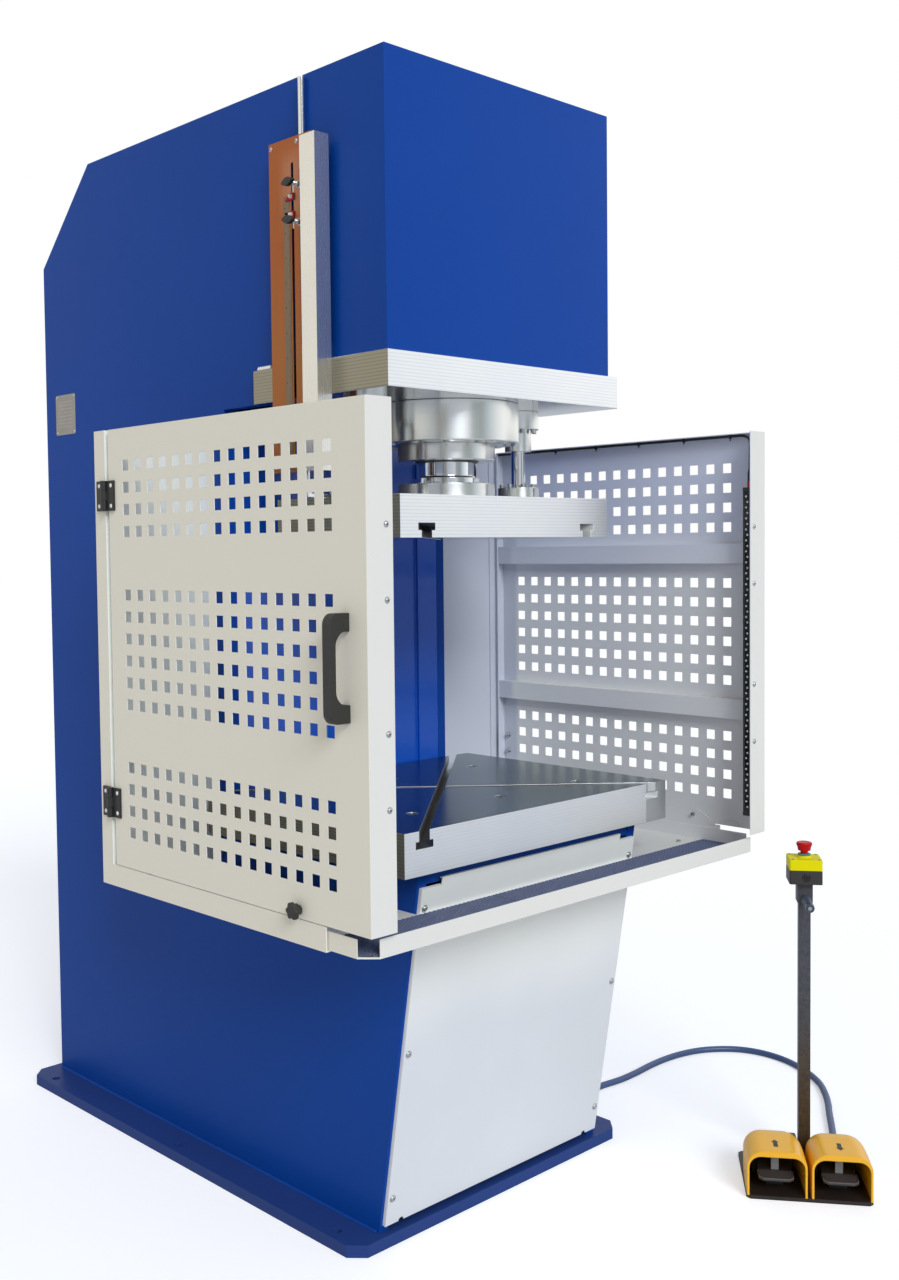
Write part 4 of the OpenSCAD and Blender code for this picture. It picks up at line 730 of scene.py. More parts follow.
def shade_within(made, material):
    """Gives a plate's slots and bores, whose faces lie within its box, a darker material."""
    low, high = corners(made.name.removesuffix("_fine"))
    made.data.materials.append(MATERIALS[material])
    index = len(made.data.materials) - 1
    for face in made.data.polygons:
        c = face.center / MM
        if all(low[k] + 1.5 < c[k] < high[k] - 1.5 for k in range(3)):
            face.material_index = index


def make_plates():
    """The head plate, the ram plate and the table, with fine broken edges."""
    refine("head_plate", "milled_plate", 1.2, 3)
    for node in ("ram_plate", "work_table"):
        shade_within(refine(node, "milled_plate", 1.0, 3), "slot_shade")


make_frame()
make_welds()
make_name_plate()
make_plates()

# ---------------------------------------------------------------- cylinder, ram and guides


def cap_screw(shape, place, r=4.0, h=6.0, sides=20):
    """A cylinder-head screw with a hexagon socket, standing on the place's XY plane."""
    rim, socket = soften([(r, 0), (r, h), (r * 0.58, h)], 0.5), [(r * 0.58, h * 0.45), (0, h * 0.45)]
    shape.lathe(rim + socket, place, sides)


def dome_screw(shape, place, r=5.0, h=2.8, pits=None):
    """A domed screw head with a recess, on a thin washer. A second shape, where given, takes a black disc on
    the recess's floor: painted shade.
    """
    shape.lathe(soften([(0, 0.9), (r * 1.35, 0.9), (r * 1.35, 0)], 0.3), place, 24)
    recess = [(0, h * 0.62), (r * 0.34, h * 0.62), (r * 0.36, h + 0.6)]
    shape.lathe(recess + arc(r, 0.8, h, (62, 45, 28, 12, 0)), place, 24)
    if pits:
        pits.lathe([(0, h * 0.62 + 0.3), (r * 0.42, h * 0.62 + 0.3), (r * 0.42, h * 0.6)], place, 16)


def centre(node):
    """The middle of a CAD node, seen from above."""
    low, high = corners(node)
    return (low.x + high.x) / 2, (low.y + high.y) / 2


ROD_R = 60


def make_cylinder():
    """The gland and its ring under the head plate, the piston rod and the ram flange."""
    y = centre("gland_ring")[1]
    place = at(0, y)
    gland, ring, head = corners("cylinder_gland"), corners("gland_ring"), corners("head_plate")
    rod, flange = corners("piston_rod"), corners("ram_flange")
    gland_r, ring_r = (gland[1].x - gland[0].x) / 2, (ring[1].x - ring[0].x) / 2
    bore, spigot_r, piston_r = ROD_R + 0.4, 110, 109.9
    low, ring_low, ring_high = gland[0].z, ring[0].z, ring[1].z
    shape = Shape()
    profile = [
        (bore, low), (gland_r - 22, low), (gland_r - 20, low + 1.0), (gland_r, low + 1.0),
        (gland_r, head[0].z), (spigot_r, head[0].z), (spigot_r, head[1].z), (bore, head[1].z),
    ]
    shape.lathe(soften(profile, 2.5, 3, True), place, 144, True)
    shape.piece("cylinder_gland_fine", "frame", "turned_steel", "machined_steel", ["cylinder_gland"])
    shape = Shape()
    profile = [
        (bore, ring_low + 3), (ROD_R + 9, ring_low + 3), (ROD_R + 11, ring_low), (ring_r, ring_low),
        (ring_r, ring_high), (bore, ring_high),
    ]
    shape.lathe(soften(profile, 2.2, 3, True), place, 128, True)
    shape.piece("gland_ring_fine", "frame", "turned_steel", "machined_steel", ["gland_ring"])
    # The wiper's dark lip under the ring
    shape = Shape()
    profile = [
        (ROD_R + 0.1, ring_low - 2.0), (ROD_R + 2.0, ring_low - 3.6), (ROD_R + 8.0, ring_low - 2.6),
        (ROD_R + 9.5, ring_low + 4.5), (ROD_R + 0.6, ring_low + 4.5),
    ]
    shape.lathe(soften(profile, 0.8, 2, True), place, 96, True)
    shape.piece("wiper_lip", "frame", "black_plastic", "black_plastic")
    # Cap screws up into the gland, in the shade of the ring's rim
    shape = Shape()
    for spot in around(12, 131, 15, 0, y):
        cap_screw(shape, at(*spot, low + 1.2, "-z"), 7.5, 3.2)
    shape.piece("gland_screws", "frame", "steel_screw", "zinc")

    foot, piston = flange[1].z, rod[1].z - 60
    shape = Shape()
    profile = [
        (0, foot), (72, foot), (72, foot + 13), (ROD_R + 4.5, foot + 13), (ROD_R, foot + 17),
        (ROD_R, piston), (piston_r, piston), (piston_r, rod[1].z), (0, rod[1].z),
    ]
    shape.lathe(soften(profile, 1.6, 3), place, 128)
    shape.piece("piston_rod_fine", "ram", "chrome", "chrome", ["piston_rod"])
    shape = Shape()
    shape.drum((flange[1].x - flange[0].x) / 2, flange[0].z, foot, place, 3.0, 128)
    for spot in around(10, 89, 8, 0, y):
        cap_screw(shape, at(*spot, foot - 0.3), 7, 1.8)
    shape.piece("ram_flange_fine", "ram", "turned_steel", "machined_steel", ["ram_flange"])
    # The sensor lead that hangs beside the rod
    lead = Shape()
    points = [
        (112, 28, ring_low + 6), (116, 26, ring_low - 4), (114, 22, ring_low - 22), (104, 18, ring_low - 40),
        (100, 17, foot + 2), (99, 17, foot - 1),
    ]
    route, _ = smooth_route([Vector((px, y + py, pz)) for px, py, pz in points], 3)
    lead.tube(route, 2.6, 8)
    lead.piece("sensor_lead", "frame", "black_plastic", "black_plastic")


def make_guides():
    """The guide sleeves with their flanged bosses, the rods, and the flanges on the ram plate."""
    bosses, rods, flanges = corners("guide_bosses"), corners("guide_rods"), corners("guide_flanges")
    head = corners("head_plate")
    x, y = 234, centre("guide_bosses")[1]
    rod_r, sleeve_r, boss_r, flange_r = rods[1].x - x, 30, bosses[1].x - x, flanges[1].x - x
    places = [at(s * x, y) for s in (-1, 1)]
    spots = list(around(8, 38.4, 12))
    top, low, shelf, flange_top = head[1].z, bosses[0].z, head[0].z - 40, flanges[1].z
    profile = [
        (rod_r + 0.3, low), (sleeve_r, low), (sleeve_r, shelf), (boss_r, shelf), (boss_r, head[0].z),
        (sleeve_r, head[0].z), (sleeve_r, top), (rod_r + 0.3, top),
    ]
    shape, screws = Shape(), Shape()
    for place in places:
        shape.lathe(soften(profile, 1.3, 3, True), place, 80, True)
        for spot in spots:
            cap_screw(screws, place @ at(*spot, shelf + 0.3, "-z"), 5.3, 8)
    shape.piece("guide_bosses_fine", "frame", "turned_steel", "machined_steel", ["guide_bosses"])
    screws.piece("guide_boss_screws", "frame", "steel_screw", "zinc")
    shape = Shape()
    for place in places:
        shape.drum(rod_r, rods[0].z, rods[1].z, place, 1.6, 64)
    shape.piece("guide_rods_fine", "ram", "chrome", "chrome", ["guide_rods"])
    shape, screws = Shape(), Shape()
    for place in places:
        shape.drum(flange_r, flanges[0].z, flange_top, place, 1.6, 80, rod_r + 0.3)
        shape.drum(24, flange_top - 0.5, flange_top + 2.0, place, 0.6, 64, rod_r + 0.4)
        for spot in spots:
            cap_screw(screws, place @ at(*spot, flange_top - 0.3), 5.3, 8)
    shape.piece("guide_flanges_fine", "ram", "turned_steel", "machined_steel", ["guide_flanges"])
    screws.piece("guide_flange_screws", "ram", "steel_screw", "zinc")


def make_trip_rod():
    """The rod that stands on the ram plate's arm, with its dog at the upper stop."""
    low, high = corners("trip_rod")
    r, y = 7, -443
    x = low.x + 2 + r
    shape, dog, screws = Shape(), Shape(), Shape()
    shape.drum(r, low.z + 8, high.z, at(x, y), 1.2, 40)
    shape.box((x - r - 2, y - 14, low.z), (high.x, y + 14, low.z + 8), 0.8, 2)
    shape.drum(10.5, low.z + 7.5, low.z + 15, at(x, y), 0.8, 6)
    shape.piece("trip_rod_fine", "ram", "chrome", "chrome", ["trip_rod"])
    dog.box((x - r, y - 26, 2063), (x + r, y + 1, 2075), 1.0, 2)
    dog.piece("trip_dog", "ram", "steel_screw", "zinc")
    for dx in (12, 40):
        cap_screw(screws, at(high.x - dx, y, low.z + 7.8), 5, 6)
    screws.piece("trip_arm_screws", "ram", "steel_screw", "zinc")


make_cylinder()
make_guides()
make_trip_rod()

# ---------------------------------------------------------------- table


def make_table_top():
    """The ground upper face: a skin on the table, open where the T-slots and the screws are."""
    table = bpy.data.objects["work_table_fine"]
    table.data.materials.append(MATERIALS["ground_top"])
    index = len(table.data.materials) - 1
    top = corners("work_table")[1].z * MM
    for face in table.data.polygons:
        if face.normal.z > 0.9 and face.center.z > top - 0.0004:
            face.material_index = index


def make_table_screws():
    """Socket screws sunk in the table."""
    low, high = (corner.z for corner in corners("table_screws"))
    profile = [
        (0, low), (8, low), (8, high - 17), (12.6, high - 17), (12.6, high - 0.6), (11.8, high - 0.2),
        (8, high - 0.2), (8, high - 9), (0, high - 9),
    ]
    shape = Shape()
    for x in (-255, 0, 255):
        for y in (-644, -324):
            shape.lathe(profile, at(x, y), 40)
    shape.piece("table_screws_fine", "frame", "steel_screw", "dark_steel", ["table_screws"])


make_table_top()
make_table_screws()

# ---------------------------------------------------------------- front cover

LEAN = math.atan((744 - 620) / (770 - 25))
ON_LEAN = Matrix.Translation((0, -620, 25)) @ Matrix.Rotation(LEAN, 4, "X")


def along_lean(z):
    """How far up the leaning cover a height is."""
    return (z - 25) / math.cos(LEAN)


def make_front_cover():
    """The leaning cover and the screws along its sides."""
    refine("front_cover", "pale_paint", 0.55, 2)
    screws = Shape()
    for s in (-1, 1):
        for z in (97, 400, 695):
            place = ON_LEAN @ at(s * 318, -8, along_lean(z), "y")
            screws.lathe(soften([(0, -0.2), (7.6, -0.2), (7.6, 0.8), (0, 0.8)], 0.3), place, 24)
            dome = [(0, 2.2), (2.3, 2.2), (2.6, 4.2)] + arc(6.4, 0.7, 3.4, (64, 48, 30, 14, 0))
            screws.lathe(dome, place, 28)
            screws.drum(3, -8, 0, place, 0.2, 16)
    screws.piece("cover_screws_fine", "frame", "steel_screw", "zinc", ["cover_screws"])


make_front_cover()

# ---------------------------------------------------------------- guards


DOOR_X, FLANGE_X = 606, 561
HINGE_Y, HINGE_Z = -106, (858, 1496)


def door_fold(node):
    """Gives a door's outer folds their bend radius. Its cut edges are only broken."""
    low, high = corners(node)
    outer = low.x if node.startswith("left") else high.x

    def fold(a, b):
        folds = ((1, low.y), (1, high.y), (2, high.z))
        outside = same(a.x, outer) and same(b.x, outer)
        return 2.2 if outside and any(same(a[k], edge) and same(b[k], edge) for k, edge in folds) else None

    return fold


def make_guards():
    """The fixed frames and the doors, whose outer folds are rounder than their cut edges."""
    for node in ("left_guard_frame", "right_guard_frame"):
        refine(node, "guard_paint", 0.5, 2)
    for node in ("left_door", "right_door"):
        refine(node, "guard_paint", 0.3, 2, fold=door_fold(node))


def make_hinges():
    """Black moulded hinges, whose leaves carry capped screws. Those on the doors have nuts inside."""
    cap = soften([(0, 6.1), (2.9, 6.1), (4.3, 5.2), (4.5, 4.8)], 0.5)
    tip = soften([(0, 8.6), (3, 8.0), (3.2, 5.4)], 0.5)
    for node, body, sides in (
        ("post_hinge_leaves", "frame", (-1, 1)), ("left_hinge_leaves", "left_door", (-1,)),
        ("right_hinge_leaves", "right_door", (1,)),
    ):
        on_door = body != "frame"
        y = HINGE_Y + (-23 if on_door else 22)
        refine(node, "black_plastic", 0.7, 2)
        screws, nuts = Shape(), Shape()
        for s, z in ((s, z + dz) for s in sides for z in HINGE_Z for dz in (-21, 21)):
            screws.lathe(cap, at(s * DOOR_X, y, z, facing(s)), 20)
            if on_door:
                inside = at(s * (DOOR_X - 2), y, z, facing(-s))
                nuts.drum(7, 0, 1.2, inside, 0.3, 20)
                nuts.drum(5.8, 1.2, 5.6, inside, 0.5, 6)
                nuts.lathe(tip, inside, 16)
        screws.piece(node + "_screws", body, "white_mark", "zinc")
        if on_door:
            nuts.piece(node + "_nuts", body, "steel_screw", "zinc")


def make_handles():
    """Bow handles with a full, rounded section and sunk screws at their ends."""
    screw = soften([(0, 4.8), (4.4, 4.8), (4.4, 9.1), (5.6, 9.6), (5.8, 8.6)], 0.3)
    for node, body, s in (("left_handle", "left_door", -1), ("right_handle", "right_door", 1)):
        low, high = corners(node)
        z, half = (low.z + high.z) / 2, (high.z - low.z) / 2
        y, w, out = (low.y + high.y) / 2, (high.y - low.y) / 2, high.x - low.x
        # Each corner of the bow's outline, and its radius
        outline = [
            (0, -half, 1), (out - 10, -half, 9), (out, -half + 12, 9), (out, half - 12, 9),
            (out - 10, half, 9), (0, half, 1), (0, half - 31, 1), (out - 27, half - 31, 8),
            (out - 13, half - 46, 9), (out - 13, -half + 46, 9), (out - 27, -half + 31, 8),
            (0, -half + 31, 1),
        ]
        rounded = []
        for i, corner in enumerate(outline):
            three = [p[:2] for p in (outline[i - 1], corner, outline[(i + 1) % len(outline)])]
            rounded += soften(three, corner[2], 5)[1:-1]
        flip = Matrix(((s, 0, 0, 0), (0, 1, 0, 0), (0, 0, 1, 0), (0, 0, 0, 1)))
        shape, screws = Shape(), Shape()
        shape.prism(rounded, -w, w, at(s * DOOR_X, y, z) @ flip @ AXES["y"], 2.6, 4)
        shape.piece(node + "_fine", body, "handle_plastic", "black_plastic", [node])
        for dz in (-half + 15, half - 15):
            screws.lathe(screw, at(s * DOOR_X + s * (out - 10), y, z + dz, facing(s)), 20)
        screws.piece(node + "_screws", body, "dark_steel", "black_plastic")


def make_knobs():
    """Six-lobed knobs low on the doors, each turning with its stud."""
    for node, body, s in (("left_star_knob", "left_knob", -1), ("right_star_knob", "right_knob", 1)):
        low, high = corners(node)
        place = at(s * DOOR_X, (low.y + high.y) / 2, (low.z + high.z) / 2, facing(s))
        shape, stud = Shape(), Shape()
        hub = soften([(0, 0.4), (8.6, 0.4), (9.2, 7.5), (6.5, 9.5)], 0.8) + [(6.5, 9.5), (0, 9.5)]
        shape.lathe(hub, place, 40)
        rim = soften([(9.5, 8.6), (16, 9.6), (16, 19.6), (11, 21.6), (0, 22)], 2.2, 4)
        shape.lathe([(0, 8.6), (9.5, 8.6)] + rim[1:], place, 120, lobes=6, depth=0.2)
        shape.piece(node + "_fine", body, "handle_plastic", "black_plastic", [node])
        stud.lathe(soften([(0, 0.6), (4, 0.6), (4, -11.6), (2.9, -12), (0, -12)], 0.5), place, 24)
        stud.piece(node + "_stud", body, "steel_screw", "zinc")


def make_curtains():
    """Light curtain bars: a black profile, its window and a row of lenses, end caps and a tip."""
    lens_count, lens_inset = 58, 20
    for node, body, s in (("left_light_curtain", "left_door", -1), ("right_light_curtain", "right_door", 1)):
        low, high = corners(node)
        refine(node, "black_plastic", 0.7, 2)
        inward = low.x if s > 0 else high.x
        y = (low.y + high.y) / 2
        window, lenses, caps = Shape(), Shape(), Shape()
        x0, x1 = sorted((inward + s * 1.1, inward + s * 1.6))
        window.box((x0, y - 4.6, low.z + 11), (x1, y + 4.6, high.z - 11), 0.1, 1)
        window.piece(node + "_window", body, "window_black", "black_plastic")
        for k in range(lens_count):
            z = low.z + lens_inset + (high.z - low.z - 2 * lens_inset) * k / (lens_count - 1)
            place = at(inward + s * 1.1, y + (1.6 if k % 2 else -1.6), z, facing(-s))
            lenses.lathe([(1.0, 0.0), (1.1, 0.35), (2.0, 0.35), (2.2, 0.0)], place, 12)
        lenses.piece(node + "_lenses", body, "white_mark", "black_plastic", weighted=False)
        for z0, z1 in ((low.z - 0.2, low.z + 9), (high.z - 9, high.z + 0.2)):
            caps.box((low.x - 0.5, low.y - 0.4, z0), (high.x + 0.5, high.y + 0.4, z1), 0.9, 2)
        caps.piece(node + "_caps", body, "handle_plastic", "black_plastic")
    place = at(*centre("right_light_curtain"))
    top = corners("right_light_curtain")[1].z
    nut, plug = Shape(), Shape()
    nut.drum(6, top - 1, top + 14, place, 1.0, 24)
    nut.piece("curtain_plug_nut", "right_door", "red_enamel", "black_plastic")
    plug.lathe(soften([(5, top + 13), (5, top + 32), (3.4, top + 42), (0, top + 42)], 1.0), place, 24)
    plug.piece("curtain_plug", "right_door", "black_plastic", "black_plastic")


CURTAIN_CABLE = [
    (561, -895, 1507), (561, -895, 1522), (561, -895, 1540), (561, -895, 1558), (562, -895, 1576),
    (566, -893, 1592), (573, -889, 1606), (581, -881, 1617), (587, -868, 1624), (590, -853, 1626.6),
    (590, -835, 1626.6), (590, -700, 1626.6), (590, -560, 1626.6), (590, -420, 1626.6),
    (590, -280, 1626.6), (590, -150, 1626.6), (590, -114, 1626.6),
]


def make_curtain_cable():
    """The light curtain's cable, clipped under the right door's upper fold."""
    route, _ = smooth_route(CURTAIN_CABLE, 6)
    black = ("black_plastic", "black_plastic")
    cable, clips = Shape(), Shape()
    cable.tube(route, 3, 10)
    cable.piece("curtain_cable_fine", "right_door", *black, ["curtain_cable"], 60, False)
    for y in (-310, -440, -570, -700, -826):
        clips.box((586, y - 2.2, 1621), (594, y + 2.2, 1630.2), 0.8, 2)
        clips.box((589.3, y - 1.2, 1616), (590.9, y + 1.2, 1622), 0.3, 1)
    clips.piece("curtain_cable_clips", "right_door", *black)


def make_door_screws():
    """The pairs of screws in each door's front flange that hold its light curtain."""
    for body, s in (("left_door", -1), ("right_door", 1)):
        front = corners(body)[0].y
        shape, pits = Shape(), Shape()
        for z in (1420, 1293, 1067, 938):
            dome_screw(shape, at(s * FLANGE_X, front, z, "y"), 4.4, 2.4, pits)
        shape.piece(body + "_flange_screws", body, "steel_screw", "zinc")
        # Black discs in the screws' recesses: painted shade
        pits.piece(body + "_flange_screw_pits", body, "black_plastic", "zinc")


make_guards()
make_hinges()
make_handles()
make_knobs()
make_curtains()
make_curtain_cable()
make_door_screws()

# ---------------------------------------------------------------- tray


def cut_off(outline, cut, keep):
    """An outline's part on the +X side of a cut where keep is 1, or on the -X side where it is -1."""
    made = []
    for i, a in enumerate(outline):
        b = outline[(i + 1) % len(outline)]
        da, db = (a[0] - cut) * keep, (b[0] - cut) * keep
        if da >= 0:
            made.append(a)
        if da * db < 0:
            made.append((cut, a[1] + (b[1] - a[1]) * (da / (da - db))))
    return made


def crossings(outline, along, across, offset):
    """Where a line, offset across from the origin, meets an outline, measured along it."""
    hits = []
    for i, corner in enumerate(outline):
        a, b = Vector((*corner, 0)), Vector((*outline[(i + 1) % len(outline)], 0))
        da, db = a.dot(across) - offset, b.dot(across) - offset
        if da * db < 0:
            hits.append(a.lerp(b, da / (da - db)).dot(along))
    return hits


def add_rib(shape, along, across, offset, ends, low, high, half=0.85):
    """A rib of the mat, half as wide at its top."""
    solid = bmesh.new()
    section = ((-half, low), (half, low), (half * 0.5, high), (-half * 0.5, high))
    a, b = ([solid.verts.new((u, v, z)) for v, z in section] for u in ends)
    solid.faces.new(a)
    solid.faces.new(b[::-1])
    for k in range(4):
        j = (k + 1) % 4
        solid.faces.new((a[k], b[k], b[j], a[j]))
    shape.add(solid, Matrix((
        (along.x, across.x, 0, across.x * offset), (along.y, across.y, 0, across.y * offset),
        (0, 0, 1, 0), (0, 0, 0, 1),
    )))


def make_tray():
    """The tray between the guards, its two mats with crossing ribs, and its bolts."""
    refine("guard_tray", "guard_paint", 0.5, 2)
    low, high = corners("tray_mesh")
    corner, seam, pitch = 28, -135, 6.2
    outline = [
        (low.x, high.y), (low.x, low.y + corner), (low.x + corner, low.y), (high.x - corner, low.y),
        (high.x, low.y + corner), (high.x, high.y),
    ]
    base, ribs, bolts = Shape(), Shape(), Shape()
    for x0, x1 in ((low.x, seam - 1.0), (seam + 1.0, high.x)):
        mat = cut_off(cut_off(outline, x0, 1), x1, -1)
        base.prism(mat, low.z, low.z + 0.9, None, 0.2, 1)
        for slope in (0.62, -0.62):
            along = Vector((1, slope, 0)).normalized()
            across = Vector((-along.y, along.x, 0))
            reach = [Vector((x, y, 0)).dot(across) for x, y in mat]
            offset = min(reach) + 3
            while offset < max(reach):
                hits = crossings(mat, along, across, offset)
                if len(hits) == 2:
                    ends = (min(hits) + 0.8, max(hits) - 0.8)
                    if ends[1] - ends[0] > 3:
                        add_rib(ribs, along, across, offset, ends, low.z + 0.8, high.z - 0.1)
                offset += pitch
    base.piece("tray_mat", "frame", "mat_rubber", "mat", ["tray_mesh"])
    ribs.piece("tray_mat_ribs", "frame", "mat_ribs", "mat", weighted=False)
    for s in (-1, 1):
        cap_screw(bolts, at(s * 540, -717, corners("guard_tray")[0].z + 3), 5, 4)
    bolts.piece("tray_bolts", "frame", "steel_screw", "zinc")


make_tray()

# ---------------------------------------------------------------- stroke gauge


def make_gauge():
    """The gauge plate with its screws, and the plain stroke scale on it."""
    refine("gauge_plate", "gauge_metal", 0.35, 2)
    refine("gauge_channel", "channel_metal", 0.45, 2)
    refine("gauge_brackets", "zinc", 0.8, 2)
    low, high = corners("gauge_plate")
    face = low.x
    screws, scale, ticks, dots = Shape(), Shape(), Shape(), Shape()
    for z in (high.z - 11, low.z + 16):
        for y in (-360, -441):
            dome_screw(screws, at(face, y, z, "-x"), 3.6, 2.2)
    screws.piece("gauge_screws", "frame", "steel_screw", "zinc")
    y0, y1, z0, z1 = -418, -397, low.z + 6, 2092
    scale.box((face - 0.7, y0, z0), (face + 0.1, y1, z1), 0.2, 1)
    scale.piece("stroke_scale", "frame", "scale_metal", "gauge_metal")
    for k in range(int((z1 - z0 - 20) / 5)):
        z = z1 - 12 - 5 * k
        length = 9 if k % 10 == 0 else 6.5 if k % 5 == 0 else 4
        ticks.box((face - 0.82, y0 + 0.6, z - 0.3), (face - 0.68, y0 + 0.6 + length, z + 0.3), 0.03, 1)
    for k in range(int((z1 - z0 - 20) / 50)):
        z = z1 - 12 - 50 * k
        dots.drum(1.5, 0.66, 0.84, at(face, y1 - 5.5, z - 12, "-x"), 0.05, 16)
    ticks.piece("stroke_scale_ticks", "frame", "arrow_mark", "gauge_metal", weighted=False)
    dots.piece("stroke_scale_dots", "frame", "arrow_mark", "gauge_metal", weighted=False)


# Middles of the gauge plate's two slots: the pointers', then the thumb screws'
SLOT_Y = (-426, -452)


def make_stops():
    """Slides behind the gauge plate, red pointers and winged thumb screws in front of it."""
    face, slide_x = (corner.x for corner in corners("gauge_plate"))
    for name, z, way in (("upper", 2106, 1), ("lower", 2032, -1)):
        node, screw = name + "_stop", name + "_thumb_screw"
        low, high = corners(node)
        zp = z - way * 19
        pin, bolt = at(face, SLOT_Y[0], zp, "-x"), at(face, SLOT_Y[1], z, "-x")
        slide, red, nut, stud, head = (Shape() for _ in range(5))
        slide.box((slide_x + 0.3, -460, low.z + 0.4), (slide_x + 2.5, -418, high.z - 0.4), 0.4, 2)
        slide.drum(2.9, -4.4, 9, pin, 0.3, 20)
        slide.piece(node + "_slide", node, "zinc", "red_plastic", [node])
        outline = [
            (-433, zp - 7), (-433, zp + 7), (-420, zp + 7), (-405, zp - way * 4.6), (-407, zp - way * 7),
            (-420, zp - 7),
        ]
        red.prism(outline, face - 3.2, face - 1.0, at(axis="x"), 0.4, 2)
        red.piece(node + "_pointer", node, "red_plastic", "red_plastic")
        nut.lathe(soften([(0, 3.0), (4.3, 3.0), (4.5, 4.6), (3.2, 9.6), (0, 9.8)], 0.8), pin, 28)
        nut.piece(node + "_pointer_cap", node, "white_mark", "red_plastic")
        stud.drum(4, -4.5, 28, bolt, 0.5, 24)
        stud.lathe(soften([(0, 0.3), (8, 0.3), (8, 3.6), (5.6, 5.4), (5.6, 9.5), (0, 9.5)], 0.5), bolt, 28)
        for k in range(10):
            thread = [(4.05, 10 + 1.6 * k), (4.6, 10.8 + 1.6 * k), (4.05, 11.6 + 1.6 * k)]
            stud.lathe(thread, bolt, 20)
        stud.piece(screw + "_stud", screw, "steel_screw", "black_plastic", [screw])
        wings = []
        for a in (2 * math.pi * k / 40 for k in range(40)):
            wave = math.cos(2 * a)
            wings.append((14.2 * math.cos(a) * (1 + 0.16 * wave), 7.2 * math.sin(a) * (1.05 - 0.12 * wave)))
        head.prism(wings, 28, 37.5, bolt @ Matrix.Rotation(math.radians(8 * way), 4, "Z"), 2.6, 4)
        head.drum(5.8, 24.5, 37.9, bolt, 1.2, 28)
        head.piece(screw + "_head", screw, "black_plastic", "black_plastic")


make_gauge()
make_stops()

# ---------------------------------------------------------------- hydraulics inside the frame


def make_hydraulics():
    refine("cylinder_barrel", "cast_grey", 1.5, 2)
    refine("oil_tank", "cast_grey", 1.5, 2)
    refine("pump_motor", "cast_grey", 1.2, 2)
    refine("valve_block", "zinc", 1.0, 2)
    refine("hydraulic_pipes", "dark_steel", 0, 1)


make_hydraulics()

# ---------------------------------------------------------------- pedal stand

STAND_AT, STAND_TURN = (428, -1122), math.radians(-52.7)
STAND = Matrix.Translation((*STAND_AT, 0)) @ Matrix.Rotation(STAND_TURN, 4, "Z")
HOOD_X, HOOD_L, HOOD_FRONT, HOOD_TOP, HOOD_RIM, HOOD_LINTEL = 66, 165, 103, 105, 5, 12
PLATE_T, POST, POST_W, GRIP = 8, (11, 185.5), 25, 80


def hood_section(y, inset):
    """Half width, top and corner radius of the hood, a distance behind its front."""
    front, top = HOOD_FRONT, HOOD_TOP
    keys = [
        (0, 61.2, front - 1.6, 32), (3, 61.9, front - 0.3, 33), (8, 62, front, 33), (35, 62, front + 0.6, 33),
        (60, 61.8, front + 1.0, 33), (85, 61.2, top - 0.5, 34), (100, 60.6, top - 0.8, 35),
        (114, 60, top - 4, 36), (128, 59.2, top - 9, 38), (140, 58, top - 18, 39), (150, 56.5, top - 28, 38),
        (158, 54, top - 40, 34), (163, 51.5, top - 50, 30), (165, 49, top - 57, 26),
    ]
    for a, b in zip(keys, keys[1:]):
        if a[0] <= y <= b[0]:
            t = (y - a[0]) / (b[0] - a[0])
            w, h, r = (u + (v - u) * t for u, v in zip(a[1:], b[1:]))
            return w - inset, h - inset, max(r - inset, 4)
    raise ValueError("the hood ends before this section")


def arch_ring(w, h, r, y, count=9):
    """An arch's points at y, from the left foot over the top to the right foot."""
    bend = [math.pi / 2 * k / count for k in range(count + 1)]
    left = [(-w, PLATE_T + (h - r - PLATE_T) * k / 4) for k in range(4)]
    left += [(-w + r - r * math.cos(a), h - r + r * math.sin(a)) for a in bend]
    top = [((w - r) * (2 * k / 6 - 1), h) for k in range(1, 6)]
    right = [(w - r + r * math.sin(a), h - r + r * math.cos(a)) for a in bend]
    right += [(w, PLATE_T + (h - r - PLATE_T) * k / 4) for k in range(3, -1, -1)]
    return [(x, y, z) for x, z in left + top + right]


def hood_ring(y, inset):
    """The hood's arch a distance behind its front."""
    return arch_ring(*hood_section(min(max(y, 0), HOOD_L), inset), y)


def mouth_ring():
    """The mouth's arch, matching a hood ring point by point: thin sides and a deeper lintel."""
    return arch_ring(62 - HOOD_RIM, HOOD_FRONT - HOOD_LINTEL, 24, 0)


